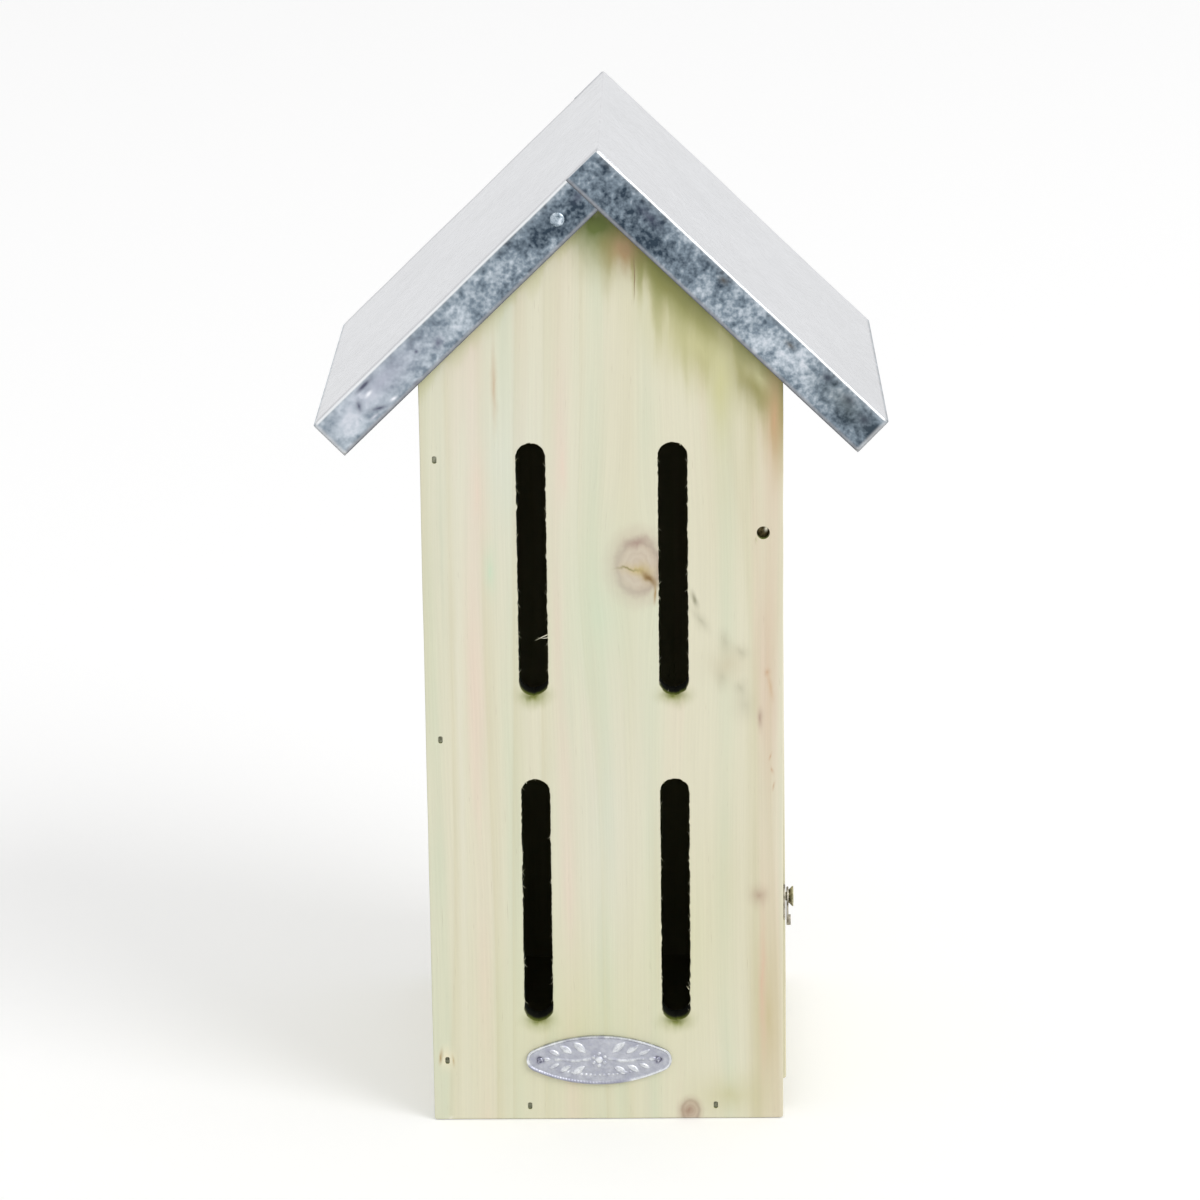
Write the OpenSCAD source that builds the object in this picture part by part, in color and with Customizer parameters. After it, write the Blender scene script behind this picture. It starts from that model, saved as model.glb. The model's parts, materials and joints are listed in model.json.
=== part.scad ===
// Butterfly house: a narrow gabled box of treated softwood boards under a folded sheet-metal roof.
// Four slots in the front let butterflies in. The right side swings out on two pins for cleaning,
// and a small turning catch holds it shut. X runs to the right, Y to the back and Z up, and the
// origin is the middle of the footprint, on the surface that the house stands on.

/* [Box] */
// Width of the front and back panels
body_w = 110; // [100:0.5:120]
// Depth from the front panel's face to the back panel's face
body_d = 130; // [110:0.5:150]
// Thickness of every board
board_t = 9; // [8:0.25:11]

/* [Roof] */
// Height of the ridge above the surface that the house stands on
ridge_h = 310; // [300:1:330]
// Width from eave to eave
roof_w = 173; // [160:0.5:190]
// Angle of each slope from level
roof_pitch = 44; // [42:0.25:46]
// Thickness of the sheet, and the outer radius of its sharp folds
sheet_t = 0.6; // [0.5:0.05:1]
// Height of the front and back flanges, square to the slope
flange_h = 13.2; // [11:0.1:16]
// Air between a flange and the panel behind it
flange_gap = 2.3; // [1:0.1:5]

/* [Slots] */
// Width of a slot
slot_w = 9; // [6:0.25:12]
// Length of a slot over its round ends
slot_l = 80; // [60:0.5:85]
// Distance between the centre lines of the left and right slots
slot_pitch = 43; // [30:0.5:50]
// Height of the low end of the lower slots
slot_low_z = 33; // [30:0.5:40]
// Wood between the lower and the upper slots
slot_rows_gap = 27; // [20:0.5:32]

/* [Door] */
// Height of the pivot axis
pivot_z = 191.4; // [180:0.2:200]
// Distance of the pivot axis from the door's outer face
pivot_inset = 6.1; // [4:0.1:6.5]
// Diameter of the pivot pins
pivot_d = 2.6; // [2:0.1:3]
// Diameter of a pivot pin's head
pivot_head_d = 3.9; // [3.6:0.1:5]
// Thickness of a pivot pin's head
pivot_head_t = 1; // [0.6:0.1:1.5]
// Depth of a pivot pin's head below the panel's face
pivot_sink = 1.4; // [0.5:0.1:2]
// Length of a pivot pin inside the door
pivot_bite = 16; // [10:0.5:25]
// Radial play of the door on its pins
pivot_play = 0.05; // [0.03:0.01:0.08]
// Play between the door and each panel
door_side_gap = 0.4; // [0.3:0.05:1]
// Play between the door and the floor board
door_floor_gap = 0.4; // [0.3:0.05:1]
// Play between the shut door and the roof sheet
door_roof_gap = 0.1; // [0.1:0.05:0.5]
// Angle at which the door hangs ajar when it is released
door_ajar = 0.4; // [0.2:0.05:0.5]

/* [Brads] */
// Width of the wire brads that hold the boards together
brad_w = 1.3; // [1:0.05:1.6]
// Thickness of a brad's wire
brad_t = 1.1; // [0.8:0.05:1.4]
// Length of a brad under its head
brad_l = 24; // [18:0.5:30]
// Length of a brad's T-shaped head, along the grain
brad_head_l = 2.2; // [1.8:0.05:2.8]
// Thickness of a brad's head
brad_head_t = 0.5; // [0.3:0.05:0.8]
// Depth of a brad's head below the face of the wood
brad_sink = 0.7; // [0.2:0.05:1.2]
// Play of every brad, nail and pin in the hole that holds it, on each side
nail_play = 0.03; // [0.01:0.01:0.06]
// Height of the lowest brad into the left side
side_brad_low_z = 20; // [15:0.5:40]
// Height of the middle brad into the left side
side_brad_mid_z = 126; // [100:0.5:150]
// Height of the top brad into the left side
side_brad_top_z = 215; // [200:0.5:235]
// Distance between the two brads into the floor board
floor_brad_pitch = 58.5; // [40:0.5:70]

/* [Roof nails] */
// Diameter of a roof nail
roof_nail_d = 1.6; // [1.2:0.1:2.2]
// Length of a roof nail in the wood
roof_nail_bite = 8; // [5:0.25:8]
// Diameter of a roof nail's domed head
roof_nail_head_d = 4.6; // [3.5:0.1:6]
// Height of a roof nail's domed head
roof_nail_head_t = 0.8; // [0.5:0.05:1.2]
// Distance of a roof nail from the ridge, down the slope
roof_nail_run = 23.4; // [18:0.2:40]

/* [Name plate] */
// Width of the oval plate
plate_w = 45.6; // [40:0.2:50]
// Height of the oval plate
plate_h = 16.2; // [14:0.2:18]
// Radius of the plate's blunt ends
plate_end_r = 3.8; // [3:0.1:4.5]
// Thickness of the plate inside its rim
plate_t = 0.8; // [0.5:0.05:1.2]
// Width of the raised rim
plate_rim_w = 0.9; // [0.5:0.05:1.2]
// Height of the rim above the plate
plate_rim_t = 0.35; // [0.2:0.05:0.6]
// Sideways place of the plate's middle
plate_x = -2.8; // [-6:0.1:6]
// Height of the plate's middle
plate_z = 20.2; // [18:0.1:22]
// Distance between the two plate nails
plate_nail_pitch = 37.2; // [32:0.1:38]
// Diameter of a plate nail
plate_nail_d = 1.1; // [0.8:0.05:1.4]
// Diameter of a plate nail's head
plate_nail_head_d = 1.9; // [1.6:0.05:2.2]
// Height of a plate nail's domed head
plate_nail_head_t = 0.45; // [0.3:0.05:0.6]
// Length of a plate nail under its head
plate_nail_l = 7; // [5:0.25:8]

/* [Catch] */
// Height of the catch's screw
catch_z = 72.6; // [60:0.2:90]
// Diameter of the flat end of the screw's countersunk head
catch_head_d = 6.4; // [5.6:0.1:7]
// Distance of the flat end of the head from the wood
catch_stand = 3.2; // [2.9:0.05:4]
// Thickness of the rim round the flat end of the head
catch_rim_t = 0.3; // [0.2:0.05:0.5]
// Diameter of the screw's shank
catch_shank_d = 2.6; // [2:0.1:3]
// Length of the screw in the wood
catch_bite = 16; // [10:0.5:20]
// Thickness of the plate under the catch
catch_plate_t = 0.7; // [0.5:0.05:0.9]
// Width of the plate
catch_plate_w = 7; // [5.5:0.1:8]
// Reach of the plate above the screw
catch_plate_up = 3.8; // [3.5:0.1:5]
// Reach of the plate below the screw
catch_plate_down = 7.6; // [5:0.1:10]
// Thickness of the turning arm
arm_t = 0.6; // [0.4:0.05:0.8]
// Air between the turning arm and its plate
arm_lift = 0.4; // [0.35:0.05:0.6]
// Diameter of the arm's eye
arm_eye_d = 6; // [5.4:0.1:7]
// Width of the arm at its neck
arm_neck_w = 2.2; // [1.6:0.1:3]
// Distance from the screw to the middle of the arm's round end
arm_l = 7.8; // [6.5:0.1:10]
// Diameter of the arm's round end
arm_end_d = 3.4; // [2.6:0.1:4]
// Thickness of the arm's round end, which stands out as a finger grip
arm_end_t = 1.3; // [1:0.05:1.6]
// Play between the arm's eye and the screw's cone, across
arm_play = 0.1; // [0.05:0.01:0.2]
// Length of each arm of the cross recess in the screw's head, from end to end
drive_l = 3.4; // [2.6:0.1:3.6]
// Width of the cross recess
drive_w = 0.9; // [0.6:0.05:1.2]
// Depth of the cross recess
drive_h = 1.2; // [0.6:0.1:1.2]

/* [Hanging hole] */
// Diameter of the hole in the back panel
hang_d = 8; // [6:0.25:10]
// Height of the hole in the back panel
hang_z = 262; // [250:0.5:270]

/* [Hidden] */
$fn = 64;
// Overrun of a cut past the face that it opens
cut = 1;
// Length of a nail's point, in thicknesses of the nail
point_run = 1.2;
// Thickness of the tip of a nail's point, in thicknesses of the nail
point_tip = 0.3;
// Flats across one fold of the sheet
fold_flats = 4;
half_w = body_w / 2;
half_d = body_d / 2;
inner_d = body_d - 2 * board_t;
// Slope of the roof, its height where the outer slopes would cross, and the depth of the roof
rise = tan(roof_pitch);
sheet_drop = sheet_t / cos(roof_pitch);
apex_z = ridge_h + sheet_drop - sheet_t;
roof_half_d = half_d + flange_gap + 2 * sheet_t;
slope_l = roof_w / 2 / cos(roof_pitch);
// The left half of the sheet is folded one thickness shorter, so the right flanges lap over it
lap_half_d = roof_half_d - sheet_t;
slot_rows = [slot_low_z, slot_low_z + slot_l + slot_rows_gap];
pivot_x = half_w - pivot_inset;
side_brad_x = -half_w + board_t / 2;
floor_left = -half_w + board_t;
floor_mid = (floor_left + half_w) / 2;
catch_y = -half_d + board_t / 2;
// The screw's cone has a slope of 45 degrees, from the shank out to the head
catch_cone_h = (catch_head_d - catch_shank_d) / 2;
catch_cone_x = catch_stand - catch_rim_t - catch_cone_h;
function under_roof(x) = apex_z - sheet_drop - abs(x) * rise;

// Stands a flat outline of X and Z up, with its thickness from y0 towards the back
module upright(y0, t) {
    translate([0, y0 + t, 0])
        rotate([90, 0, 0])
            linear_extrude(t)
                children();
}

// Turns a shape's Z axis to the back
module to_back() {
    rotate([-90, 0, 0])
        children();
}

// Turns a shape's Z axis to the right, so that its X axis points down
module to_right() {
    rotate([0, 90, 0])
        children();
}

// A pointed shank from z = 0 down to z = l
module shank(d, l) {
    cylinder(d = d, h = l - point_run * d);
    translate([0, 0, l - point_run * d])
        cylinder(d1 = d, d2 = point_tip * d, h = point_run * d);
}

// A flat-headed nail or pin: the shank starts at z = 0 and the head stands behind it
module flat_nail(d, l, head_d, head_t) {
    translate([0, 0, -head_t])
        cylinder(d = head_d, h = head_t);
    shank(d, l);
}

// A nail with a low domed head
module domed_nail(d, l, head_d, head_t) {
    ball_r = (pow(head_d / 2, 2) + pow(head_t, 2)) / (2 * head_t);
    intersection() {
        translate([0, 0, ball_r - head_t])
            sphere(r = ball_r);
        translate([0, 0, -head_t])
            cylinder(d = head_d, h = head_t);
    }
    shank(d, l);
}

// The hole of a flat-headed nail whose head is sunk below the face
module sunk_hole(d, l, head_d, head_t, sink) {
    translate([0, 0, -head_t - sink - cut])
        cylinder(d = head_d + 2 * nail_play, h = head_t + sink + cut);
    cylinder(d = d + 2 * nail_play, h = l + nail_play);
}

// Where the brads into the left side's front edge stand, at the depth of their heads
module at_side_brads() {
    for (z = [side_brad_low_z, side_brad_mid_z, side_brad_top_z])
        translate([side_brad_x, -half_d + brad_sink + brad_head_t, z])
            to_back()
                children();
}

// Where the brads into the floor board's front edge stand
module at_floor_brads() {
    for (side = [-1, 1])
        translate([floor_mid + side * floor_brad_pitch / 2, -half_d + brad_sink + brad_head_t, board_t / 2])
            to_back()
                children();
}

// A block that is centred across X and Y and stands from z = low to z = high
module block(x, y, low, high) {
    translate([-x / 2, -y / 2, low])
        cube([x, y, high - low]);
}

// A wire brad with a chisel point: the shank starts at z = 0 and the T-shaped head stands behind it
module brad() {
    flank_l = brad_l - point_run * brad_t;
    tip = point_tip * brad_t;
    block(brad_w, brad_head_l, -brad_head_t, 0);
    translate([-brad_w / 2, 0, 0])
        rotate([90, 0, 90])
            linear_extrude(brad_w)
                polygon([
                    [-brad_t / 2, 0],
                    [brad_t / 2, 0],
                    [brad_t / 2, flank_l],
                    [tip / 2, brad_l],
                    [-tip / 2, brad_l],
                    [-brad_t / 2, flank_l]
                ]);
}

// A brad's hole, with the slit that its sunk head leaves in the face
module brad_hole() {
    play = 2 * nail_play;
    block(brad_w + play, brad_head_l + play, -brad_head_t - brad_sink - cut, 0);
    block(brad_w + play, brad_t + play, -brad_head_t, brad_l + nail_play);
}

// Where the front pivot pin stands, at its counterbore floor
module at_pin() {
    translate([pivot_x, -half_d + pivot_sink + pivot_head_t, pivot_z])
        to_back()
            children();
}

// Length of a pivot pin, from its counterbore floor to its end in the door
function pin_l() = board_t - pivot_sink - pivot_head_t + door_side_gap + pivot_bite;

// Where the front roof nail stands, on the face of the left flange
module at_roof_nail() {
    down = flange_h / 2;
    translate([
        -roof_nail_run * cos(roof_pitch) + down * sin(roof_pitch),
        -lap_half_d,
        apex_z - roof_nail_run * sin(roof_pitch) - down * cos(roof_pitch)
    ])
        to_back()
            children();
}

// Length of a roof nail: through the flange, across the air and into the panel
function roof_nail_l() = sheet_t + flange_gap + roof_nail_bite;

// Holes of the nails that the front panel and what stands behind it share with the back
module end_holes() {
    at_side_brads()
        brad_hole();
    at_floor_brads()
        brad_hole();
    at_roof_nail()
        cylinder(d = roof_nail_d + 2 * nail_play, h = roof_nail_l() + nail_play);
}

module gable_outline() {
    polygon([
        [-half_w, 0],
        [half_w, 0],
        [half_w, under_roof(half_w)],
        [0, under_roof(0)],
        [-half_w, under_roof(half_w)]
    ]);
}

module slot_outline() {
    translate([-slot_w / 2, slot_w / 2])
        square([slot_w, slot_l - slot_w]);
    for (z = [slot_w / 2, slot_l - slot_w / 2])
        translate([0, z])
            circle(d = slot_w);
}

module front_panel() {
    color("#dcdcc4")
        difference() {
            upright(-half_d, board_t)
                difference() {
                    gable_outline();
                    for (side = [-1, 1], z = slot_rows)
                        translate([side * slot_pitch / 2, z])
                            slot_outline();
                }
            end_holes();
            at_pin()
                sunk_hole(pivot_d, pin_l(), pivot_head_d, pivot_head_t, pivot_sink);
            at_plate_nails()
                cylinder(d = plate_nail_d + 2 * nail_play, h = plate_t + plate_nail_l);
            at_catch()
                translate([0, 0, -catch_bite])
                    cylinder(d = catch_shank_d + 2 * nail_play, h = catch_bite + cut);
        }
}

module back_panel() {
    color("#d8d8bf")
        difference() {
            upright(half_d - board_t, board_t)
                gable_outline();
            mirror([0, 1, 0]) {
                end_holes();
                at_pin()
                    sunk_hole(pivot_d, pin_l(), pivot_head_d, pivot_head_t, pivot_sink);
            }
            translate([0, half_d - board_t - cut, hang_z])
                to_back()
                    cylinder(d = hang_d, h = board_t + 2 * cut);
        }
}

// A side board's section: square at the foot, cut to the slope of the roof at the top.
// foot_z is its low end and top_gap the play under the sheet, square to the slope.
module side_outline(foot_z, top_gap) {
    drop = top_gap / cos(roof_pitch);
    polygon([
        [half_w - board_t, foot_z],
        [half_w, foot_z],
        [half_w, under_roof(half_w) - drop],
        [half_w - board_t, under_roof(half_w - board_t) - drop]
    ]);
}

module left_side() {
    color("#d9dabf")
        difference() {
            mirror([1, 0, 0])
                upright(-inner_d / 2, inner_d)
                    side_outline(0, 0);
            for (turn = [0, 1])
                mirror([0, turn, 0])
                    at_side_brads()
                        brad_hole();
        }
}

module side_door() {
    color("#dbd6b8")
        translate([pivot_x, 0, pivot_z])
            rotate([0, -door_ajar, 0])
                translate([-pivot_x, 0, -pivot_z])
                    difference() {
                        upright(-inner_d / 2 + door_side_gap, inner_d - 2 * door_side_gap)
                            side_outline(board_t + door_floor_gap, door_roof_gap);
                        for (turn = [0, 1])
                            mirror([0, turn, 0])
                                at_pin()
                                    cylinder(d = pivot_d + 2 * pivot_play, h = pin_l() + pivot_play);
                    }
}

module floor_board() {
    color("#d4d4b6")
        difference() {
            translate([floor_left, -inner_d / 2, 0])
                cube([half_w - floor_left, inner_d, board_t]);
            for (turn = [0, 1])
                mirror([0, turn, 0])
                    at_floor_brads()
                        brad_hole();
        }
}

// Points along an arc from angle a0 to a1, which a sharp fold in sheet metal has as narrow flats
function fold_arc(centre, a0, a1) = [
    for (i = [0:fold_flats])
        let (a = a0 + (a1 - a0) * i / fold_flats)
            centre + sheet_t * [cos(a), sin(a)]
];

// Section of one half of the folded sheet, across its slope: a shallow channel whose flanges
// hang down. The top of the sheet is at y = 0, and its folds have the sheet's own thickness
// as their outer radius.
module channel_section(half) {
    inner = half - sheet_t;
    polygon(concat(
        fold_arc([inner, -sheet_t], 0, 90),
        fold_arc([-inner, -sheet_t], 90, 180),
        [
            [-half, -flange_h],
            [-inner, -flange_h],
            [-inner, -sheet_t],
            [inner, -sheet_t],
            [inner, -flange_h],
            [half, -flange_h]
        ]
    ));
}

// One half of the sheet, from its eave up past the ridge. It lies along the right slope.
module roof_half(half) {
    over_ridge = flange_h + 2 * cut;
    translate([0, 0, apex_z])
        rotate([0, roof_pitch, 0])
            translate([-over_ridge, 0, 0])
                rotate([90, 0, 90])
                    linear_extrude(slope_l + over_ridge)
                        channel_section(half);
}

// Everything below the two outer slopes, with the ridge rounded to the sheet's thickness
module roof_envelope() {
    wide = roof_w / 2 + flange_h;
    upright(-roof_half_d - cut, 2 * (roof_half_d + cut))
        polygon(concat(
            [[wide, 0], [wide, apex_z - wide * rise]],
            fold_arc([0, apex_z - sheet_drop], 90 - roof_pitch, 90 + roof_pitch),
            [[-wide, apex_z - wide * rise], [-wide, 0]]
        ));
}

module roof_sheet() {
    color("#c9ccd2")
        difference() {
            intersection() {
                union() {
                    roof_half(roof_half_d);
                    mirror([1, 0, 0])
                        roof_half(lap_half_d);
                }
                roof_envelope();
            }
            for (turn = [0, 1])
                mirror([0, turn, 0])
                    at_roof_nail()
                        translate([0, 0, -cut])
                            cylinder(d = roof_nail_d + 2 * nail_play, h = sheet_t + 2 * cut);
        }
}

module roof_nail_front() {
    color("#cfd6dd")
        at_roof_nail()
            domed_nail(roof_nail_d, roof_nail_l(), roof_nail_head_d, roof_nail_head_t);
}

module roof_nail_back() {
    mirror([0, 1, 0])
        roof_nail_front();
}

// A blunt-ended oval, inset by d all round. Two long arcs meet two end arcs without a corner.
module oval_outline(d) {
    high = plate_h / 2 - d;
    end_r = plate_end_r - d;
    end_x = plate_w / 2 - plate_end_r;
    arc_r = (pow(end_x, 2) + pow(high, 2) - pow(end_r, 2)) / (2 * (high - end_r));
    meet_x = end_x * arc_r / (arc_r - end_r);
    intersection() {
        translate([0, high - arc_r])
            circle(r = arc_r, $fn = 240);
        translate([0, arc_r - high])
            circle(r = arc_r, $fn = 240);
        translate([-meet_x, -high])
            square([2 * meet_x, 2 * high]);
    }
    for (side = [-1, 1])
        translate([side * end_x, 0])
            circle(r = end_r);
}

// Where the plate nails stand, on the plate's face
module at_plate_nails() {
    for (side = [-1, 1])
        translate([plate_x + side * plate_nail_pitch / 2, -half_d - plate_t, plate_z])
            to_back()
                children();
}

module name_plate() {
    color("#b9bcc6")
        difference() {
            translate([plate_x, 0, plate_z]) {
                upright(-half_d - plate_t, plate_t)
                    oval_outline(0);
                upright(-half_d - plate_t - plate_rim_t, plate_rim_t)
                    difference() {
                        oval_outline(0);
                        oval_outline(plate_rim_w);
                    }
            }
            at_plate_nails()
                translate([0, 0, -cut])
                    cylinder(d = plate_nail_d + 2 * nail_play, h = plate_t + 2 * cut);
        }
}

module plate_nails() {
    color("#a9adb6")
        at_plate_nails()
            domed_nail(plate_nail_d, plate_nail_l, plate_nail_head_d, plate_nail_head_t);
}

module side_brads_front() {
    color("#8a8c78")
        at_side_brads()
            brad();
}

module side_brads_back() {
    mirror([0, 1, 0])
        side_brads_front();
}

module floor_brads_front() {
    color("#8a8c78")
        at_floor_brads()
            brad();
}

module floor_brads_back() {
    mirror([0, 1, 0])
        floor_brads_front();
}

module door_pin_front() {
    color("#7d7f78")
        at_pin()
            flat_nail(pivot_d, pin_l(), pivot_head_d, pivot_head_t);
}

module door_pin_back() {
    mirror([0, 1, 0])
        door_pin_front();
}

// Where the catch stands: on the front panel's right edge, with Z out of the wood and X down
module at_catch() {
    translate([half_w, catch_y, catch_z])
        to_right()
            children();
}

module catch_plate() {
    r = catch_plate_w / 2;
    color("#c9c2ae")
        at_catch()
            linear_extrude(catch_plate_t)
                difference() {
                    union() {
                        translate([-catch_plate_up + r, -r])
                            square([catch_plate_up + catch_plate_down - 2 * r, catch_plate_w]);
                        for (x = [-catch_plate_up + r, catch_plate_down - r])
                            translate([x, 0])
                                circle(r = r);
                    }
                    circle(d = catch_shank_d + 2 * nail_play);
                }
}

// The screw's cone, grown by play on its radius
module catch_cone(play) {
    translate([0, 0, catch_cone_x])
        cylinder(d1 = catch_shank_d + 2 * play, d2 = catch_head_d + 2 * play, h = catch_cone_h);
}

module catch_screw() {
    color("#8f8f66")
        at_catch()
            difference() {
                union() {
                    translate([0, 0, catch_stand - catch_rim_t])
                        cylinder(d = catch_head_d, h = catch_rim_t);
                    catch_cone(0);
                    translate([0, 0, catch_cone_x])
                        mirror([0, 0, 1])
                            shank(catch_shank_d, catch_cone_x + catch_bite);
                }
                for (arm = [[drive_l, drive_w], [drive_w, drive_l]])
                    block(arm[0], arm[1], catch_stand - drive_h, catch_stand + cut);
            }
}

module catch_arm() {
    base = catch_plate_t + arm_lift;
    color("#8a8072")
        at_catch()
            difference() {
                union() {
                    translate([0, 0, base])
                        linear_extrude(arm_t) {
                            circle(d = arm_eye_d);
                            translate([0, -arm_neck_w / 2])
                                square([arm_l, arm_neck_w]);
                        }
                    translate([arm_l, 0, base])
                        cylinder(d = arm_end_d, h = arm_end_t);
                }
                catch_cone(arm_play);
                cylinder(d = catch_shank_d + 2 * arm_play, h = catch_stand);
            }
}

front_panel();
back_panel();
left_side();
side_door();
floor_board();
roof_sheet();
roof_nail_front();
roof_nail_back();
name_plate();
plate_nails();
side_brads_front();
side_brads_back();
floor_brads_front();
floor_brads_back();
door_pin_front();
door_pin_back();
catch_plate();
catch_screw();
catch_arm();
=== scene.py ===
"""Dresses a butterfly house: eased and stained boards, a folded zinc roof, a plate in relief and hardware."""

import json
import math
from functools import partial

import bmesh
import bpy
import numpy as np
from bpy.props import FloatProperty, FloatVectorProperty, PointerProperty
from mathutils import Matrix, Vector
from mathutils.geometry import convex_hull_2d, tessellate_polygon


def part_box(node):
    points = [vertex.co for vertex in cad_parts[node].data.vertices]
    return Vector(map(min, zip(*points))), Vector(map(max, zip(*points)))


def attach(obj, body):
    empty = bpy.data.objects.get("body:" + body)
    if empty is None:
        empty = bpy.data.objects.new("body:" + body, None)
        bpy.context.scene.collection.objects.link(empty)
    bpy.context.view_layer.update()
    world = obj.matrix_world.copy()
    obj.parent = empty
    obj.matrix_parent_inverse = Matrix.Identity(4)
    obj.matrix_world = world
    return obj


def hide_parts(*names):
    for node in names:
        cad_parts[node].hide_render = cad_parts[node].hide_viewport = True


bl_info = {
    "name": "Butterfly House",
    "version": (1, 0, 0),
    "blender": (4, 5, 0),
    "location": "View3D > Sidebar > Butterfly House",
    "description": "Builds the boards, roof sheet, name plate, nails and catch of a butterfly house",
    "category": "Object",
}

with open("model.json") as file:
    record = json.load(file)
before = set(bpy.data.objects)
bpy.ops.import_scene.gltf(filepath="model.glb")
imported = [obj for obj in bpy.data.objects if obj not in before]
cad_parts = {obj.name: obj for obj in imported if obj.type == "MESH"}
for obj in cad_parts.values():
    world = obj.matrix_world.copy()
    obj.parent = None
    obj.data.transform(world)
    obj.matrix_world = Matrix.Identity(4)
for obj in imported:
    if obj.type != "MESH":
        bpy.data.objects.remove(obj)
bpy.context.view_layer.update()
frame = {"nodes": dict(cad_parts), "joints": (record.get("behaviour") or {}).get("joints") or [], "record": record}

MM = 0.001
# Points of one CAD solid lie closer together than this along the axis that parts it from the next
SOLID_GAP = 5 * MM
# Points of a CAD node this close to its end plane lie on it
ON_PLANE = 0.01 * MM
# The axis that the door turns on, and the openings' boxes by name
DOOR_PIN = next(joint["pos_m"] for joint in frame["joints"] if joint["name"] == "door_swing")
OPENINGS = {opening["name"]: np.array(opening["box_m"]) for opening in frame["record"]["physics"]["openings"]}
SLOTS = ("lower_left_slot", "lower_right_slot", "upper_left_slot", "upper_right_slot")
# How far outside the chamber's own box its walls are found, and how much further the door's is, in mm
CHAMBER_ROOM, DOOR_ASIDE = 1.0, 6
# How far each board's pattern is moved, in mm, so that no two boards show the same grain
GRAIN_SHIFTS = {
    "front": (0, 0, 0),
    "back": (131, 40, 310),
    "left": (60, 0, 700),
    "door": (-80, 0, 1100),
    "floor": (0, 0, 1500),
}
# Where the pith of the boards' growth rings lies, in mm, in the moved pattern
PITH = (38, 85, 0)
# A mark's strength is raised by this, so that its core has an even tone
MARK_CORE = 1.6
# Half the width in mm over which a drip's stain starts
DRIP_BLUR = 3
QUARTER = math.pi / 2


def linear(code):
    """An sRGB hex colour as the linear red, green and blue that the shaders take."""
    shares = np.array([int(code[i : i + 2], 16) for i in (1, 3, 5)]) / 255
    return tuple(np.where(shares <= 0.04045, shares / 12.92, ((shares + 0.055) / 1.055) ** 2.4).tolist())


def colour(name, code, description):
    """A colour setting with its default given in sRGB hex."""
    return FloatVectorProperty(
        name=name, description=description, subtype="COLOR", size=3, min=0, max=1, default=linear(code)
    )


def length(name, metres, description):
    """A length setting in metres."""
    return FloatProperty(
        name=name, description=description, unit="LENGTH", min=0, default=metres, precision=5
    )


def share(name, value, description):
    """A plain factor setting."""
    return FloatProperty(name=name, description=description, subtype="FACTOR", min=0, default=value)


class WoodSettings(bpy.types.PropertyGroup):
    """Sizes and stains of the boards."""

    arris: length("Arris", 0.35 * MM, "Radius of a board's eased edges")
    corner: length("Corner", 0.9 * MM, "Radius of a board's long corners")
    slot_width: length("Slot width", 9 * MM, "Width of the routed slots")
    slot_length: length("Slot length", 80 * MM, "Length of the routed slots over their round ends")
    slot_rough: length("Slot roughness", 0.09 * MM, "How far the torn grain moves a slot's edge")
    ring: length("Ring width", 4.3 * MM, "Width of one year's growth across the face")
    cream: colour("Cream", "#e4e0c7", "Stain on most of the earlywood")
    green: colour("Green", "#dadec4", "Stain where the preservative stayed green")
    rose: colour("Rose", "#ead9c6", "Warm bands where the wood is resinous")
    latewood: colour("Latewood", "#d3cca9", "Dense latewood lines")
    olive: colour("Olive", "#a39d6c", "Preservative soaked into end grain")
    pooled: colour("Pooled", "#6f7a2c", "Preservative pooled at the rims of slots and holes")
    soaked: colour("Soaked", "#0e1004", "Slots' and holes' walls, where it soaked deep")
    # Soaked is mostly painted shade: the near black that the slots' and holes' walls take deep in
    bark: colour("Bark", "#8d7458", "Knots' rims, cracks and brown lines")
    smoke: colour("Smoke", "#a5a288", "Grey-green smudges")
    # Chamber is painted shade: multiplied over the bare faces inside the chamber, the door's inner face too, and
    # the colour of the slots' walls near the front where they don't face up
    chamber: colour("Chamber", "#86856a", "Tint of the rough inner faces, where the preservative dried dark")


class SheetSettings(bpy.types.PropertyGroup):
    """Sizes and colours of the galvanised roof."""

    thickness: length("Thickness", 0.6 * MM, "Thickness of the sheet")
    fold: length("Fold radius", 1.0 * MM, "Outer radius of the folds")
    flange: length("Flange height", 13.2 * MM, "Height of the flanges, square to the slope")
    wave: length("Waviness", 0.16 * MM, "How far the sheet wanders from flat")
    crystal: length("Crystal size", 1.5 * MM, "Width of one zinc crystal")
    slate: colour("Slate", "#374451", "Darkest crystals")
    steel: colour("Steel", "#808e9a", "Middling crystals")
    frost: colour("Frost", "#bbc5ce", "Lightest crystals")
    # Weathered is also a painted reflection of the bright sky on the slopes, which face up
    weathered: colour("Weathered", "#dcdde0", "Dull pale zinc on the slopes")
    # These two are painted light: a highlight along the folds and the eave ends, and shade on the cut edges and in
    # the line behind the left slope's fold
    burnish: colour("Burnish", "#f4f6f7", "Zinc rubbed bright along the folds")
    painted_shade: colour("Dusk", "#74777f", "Dirt on the cut edges and in the line behind the left slope's fold")


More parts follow.
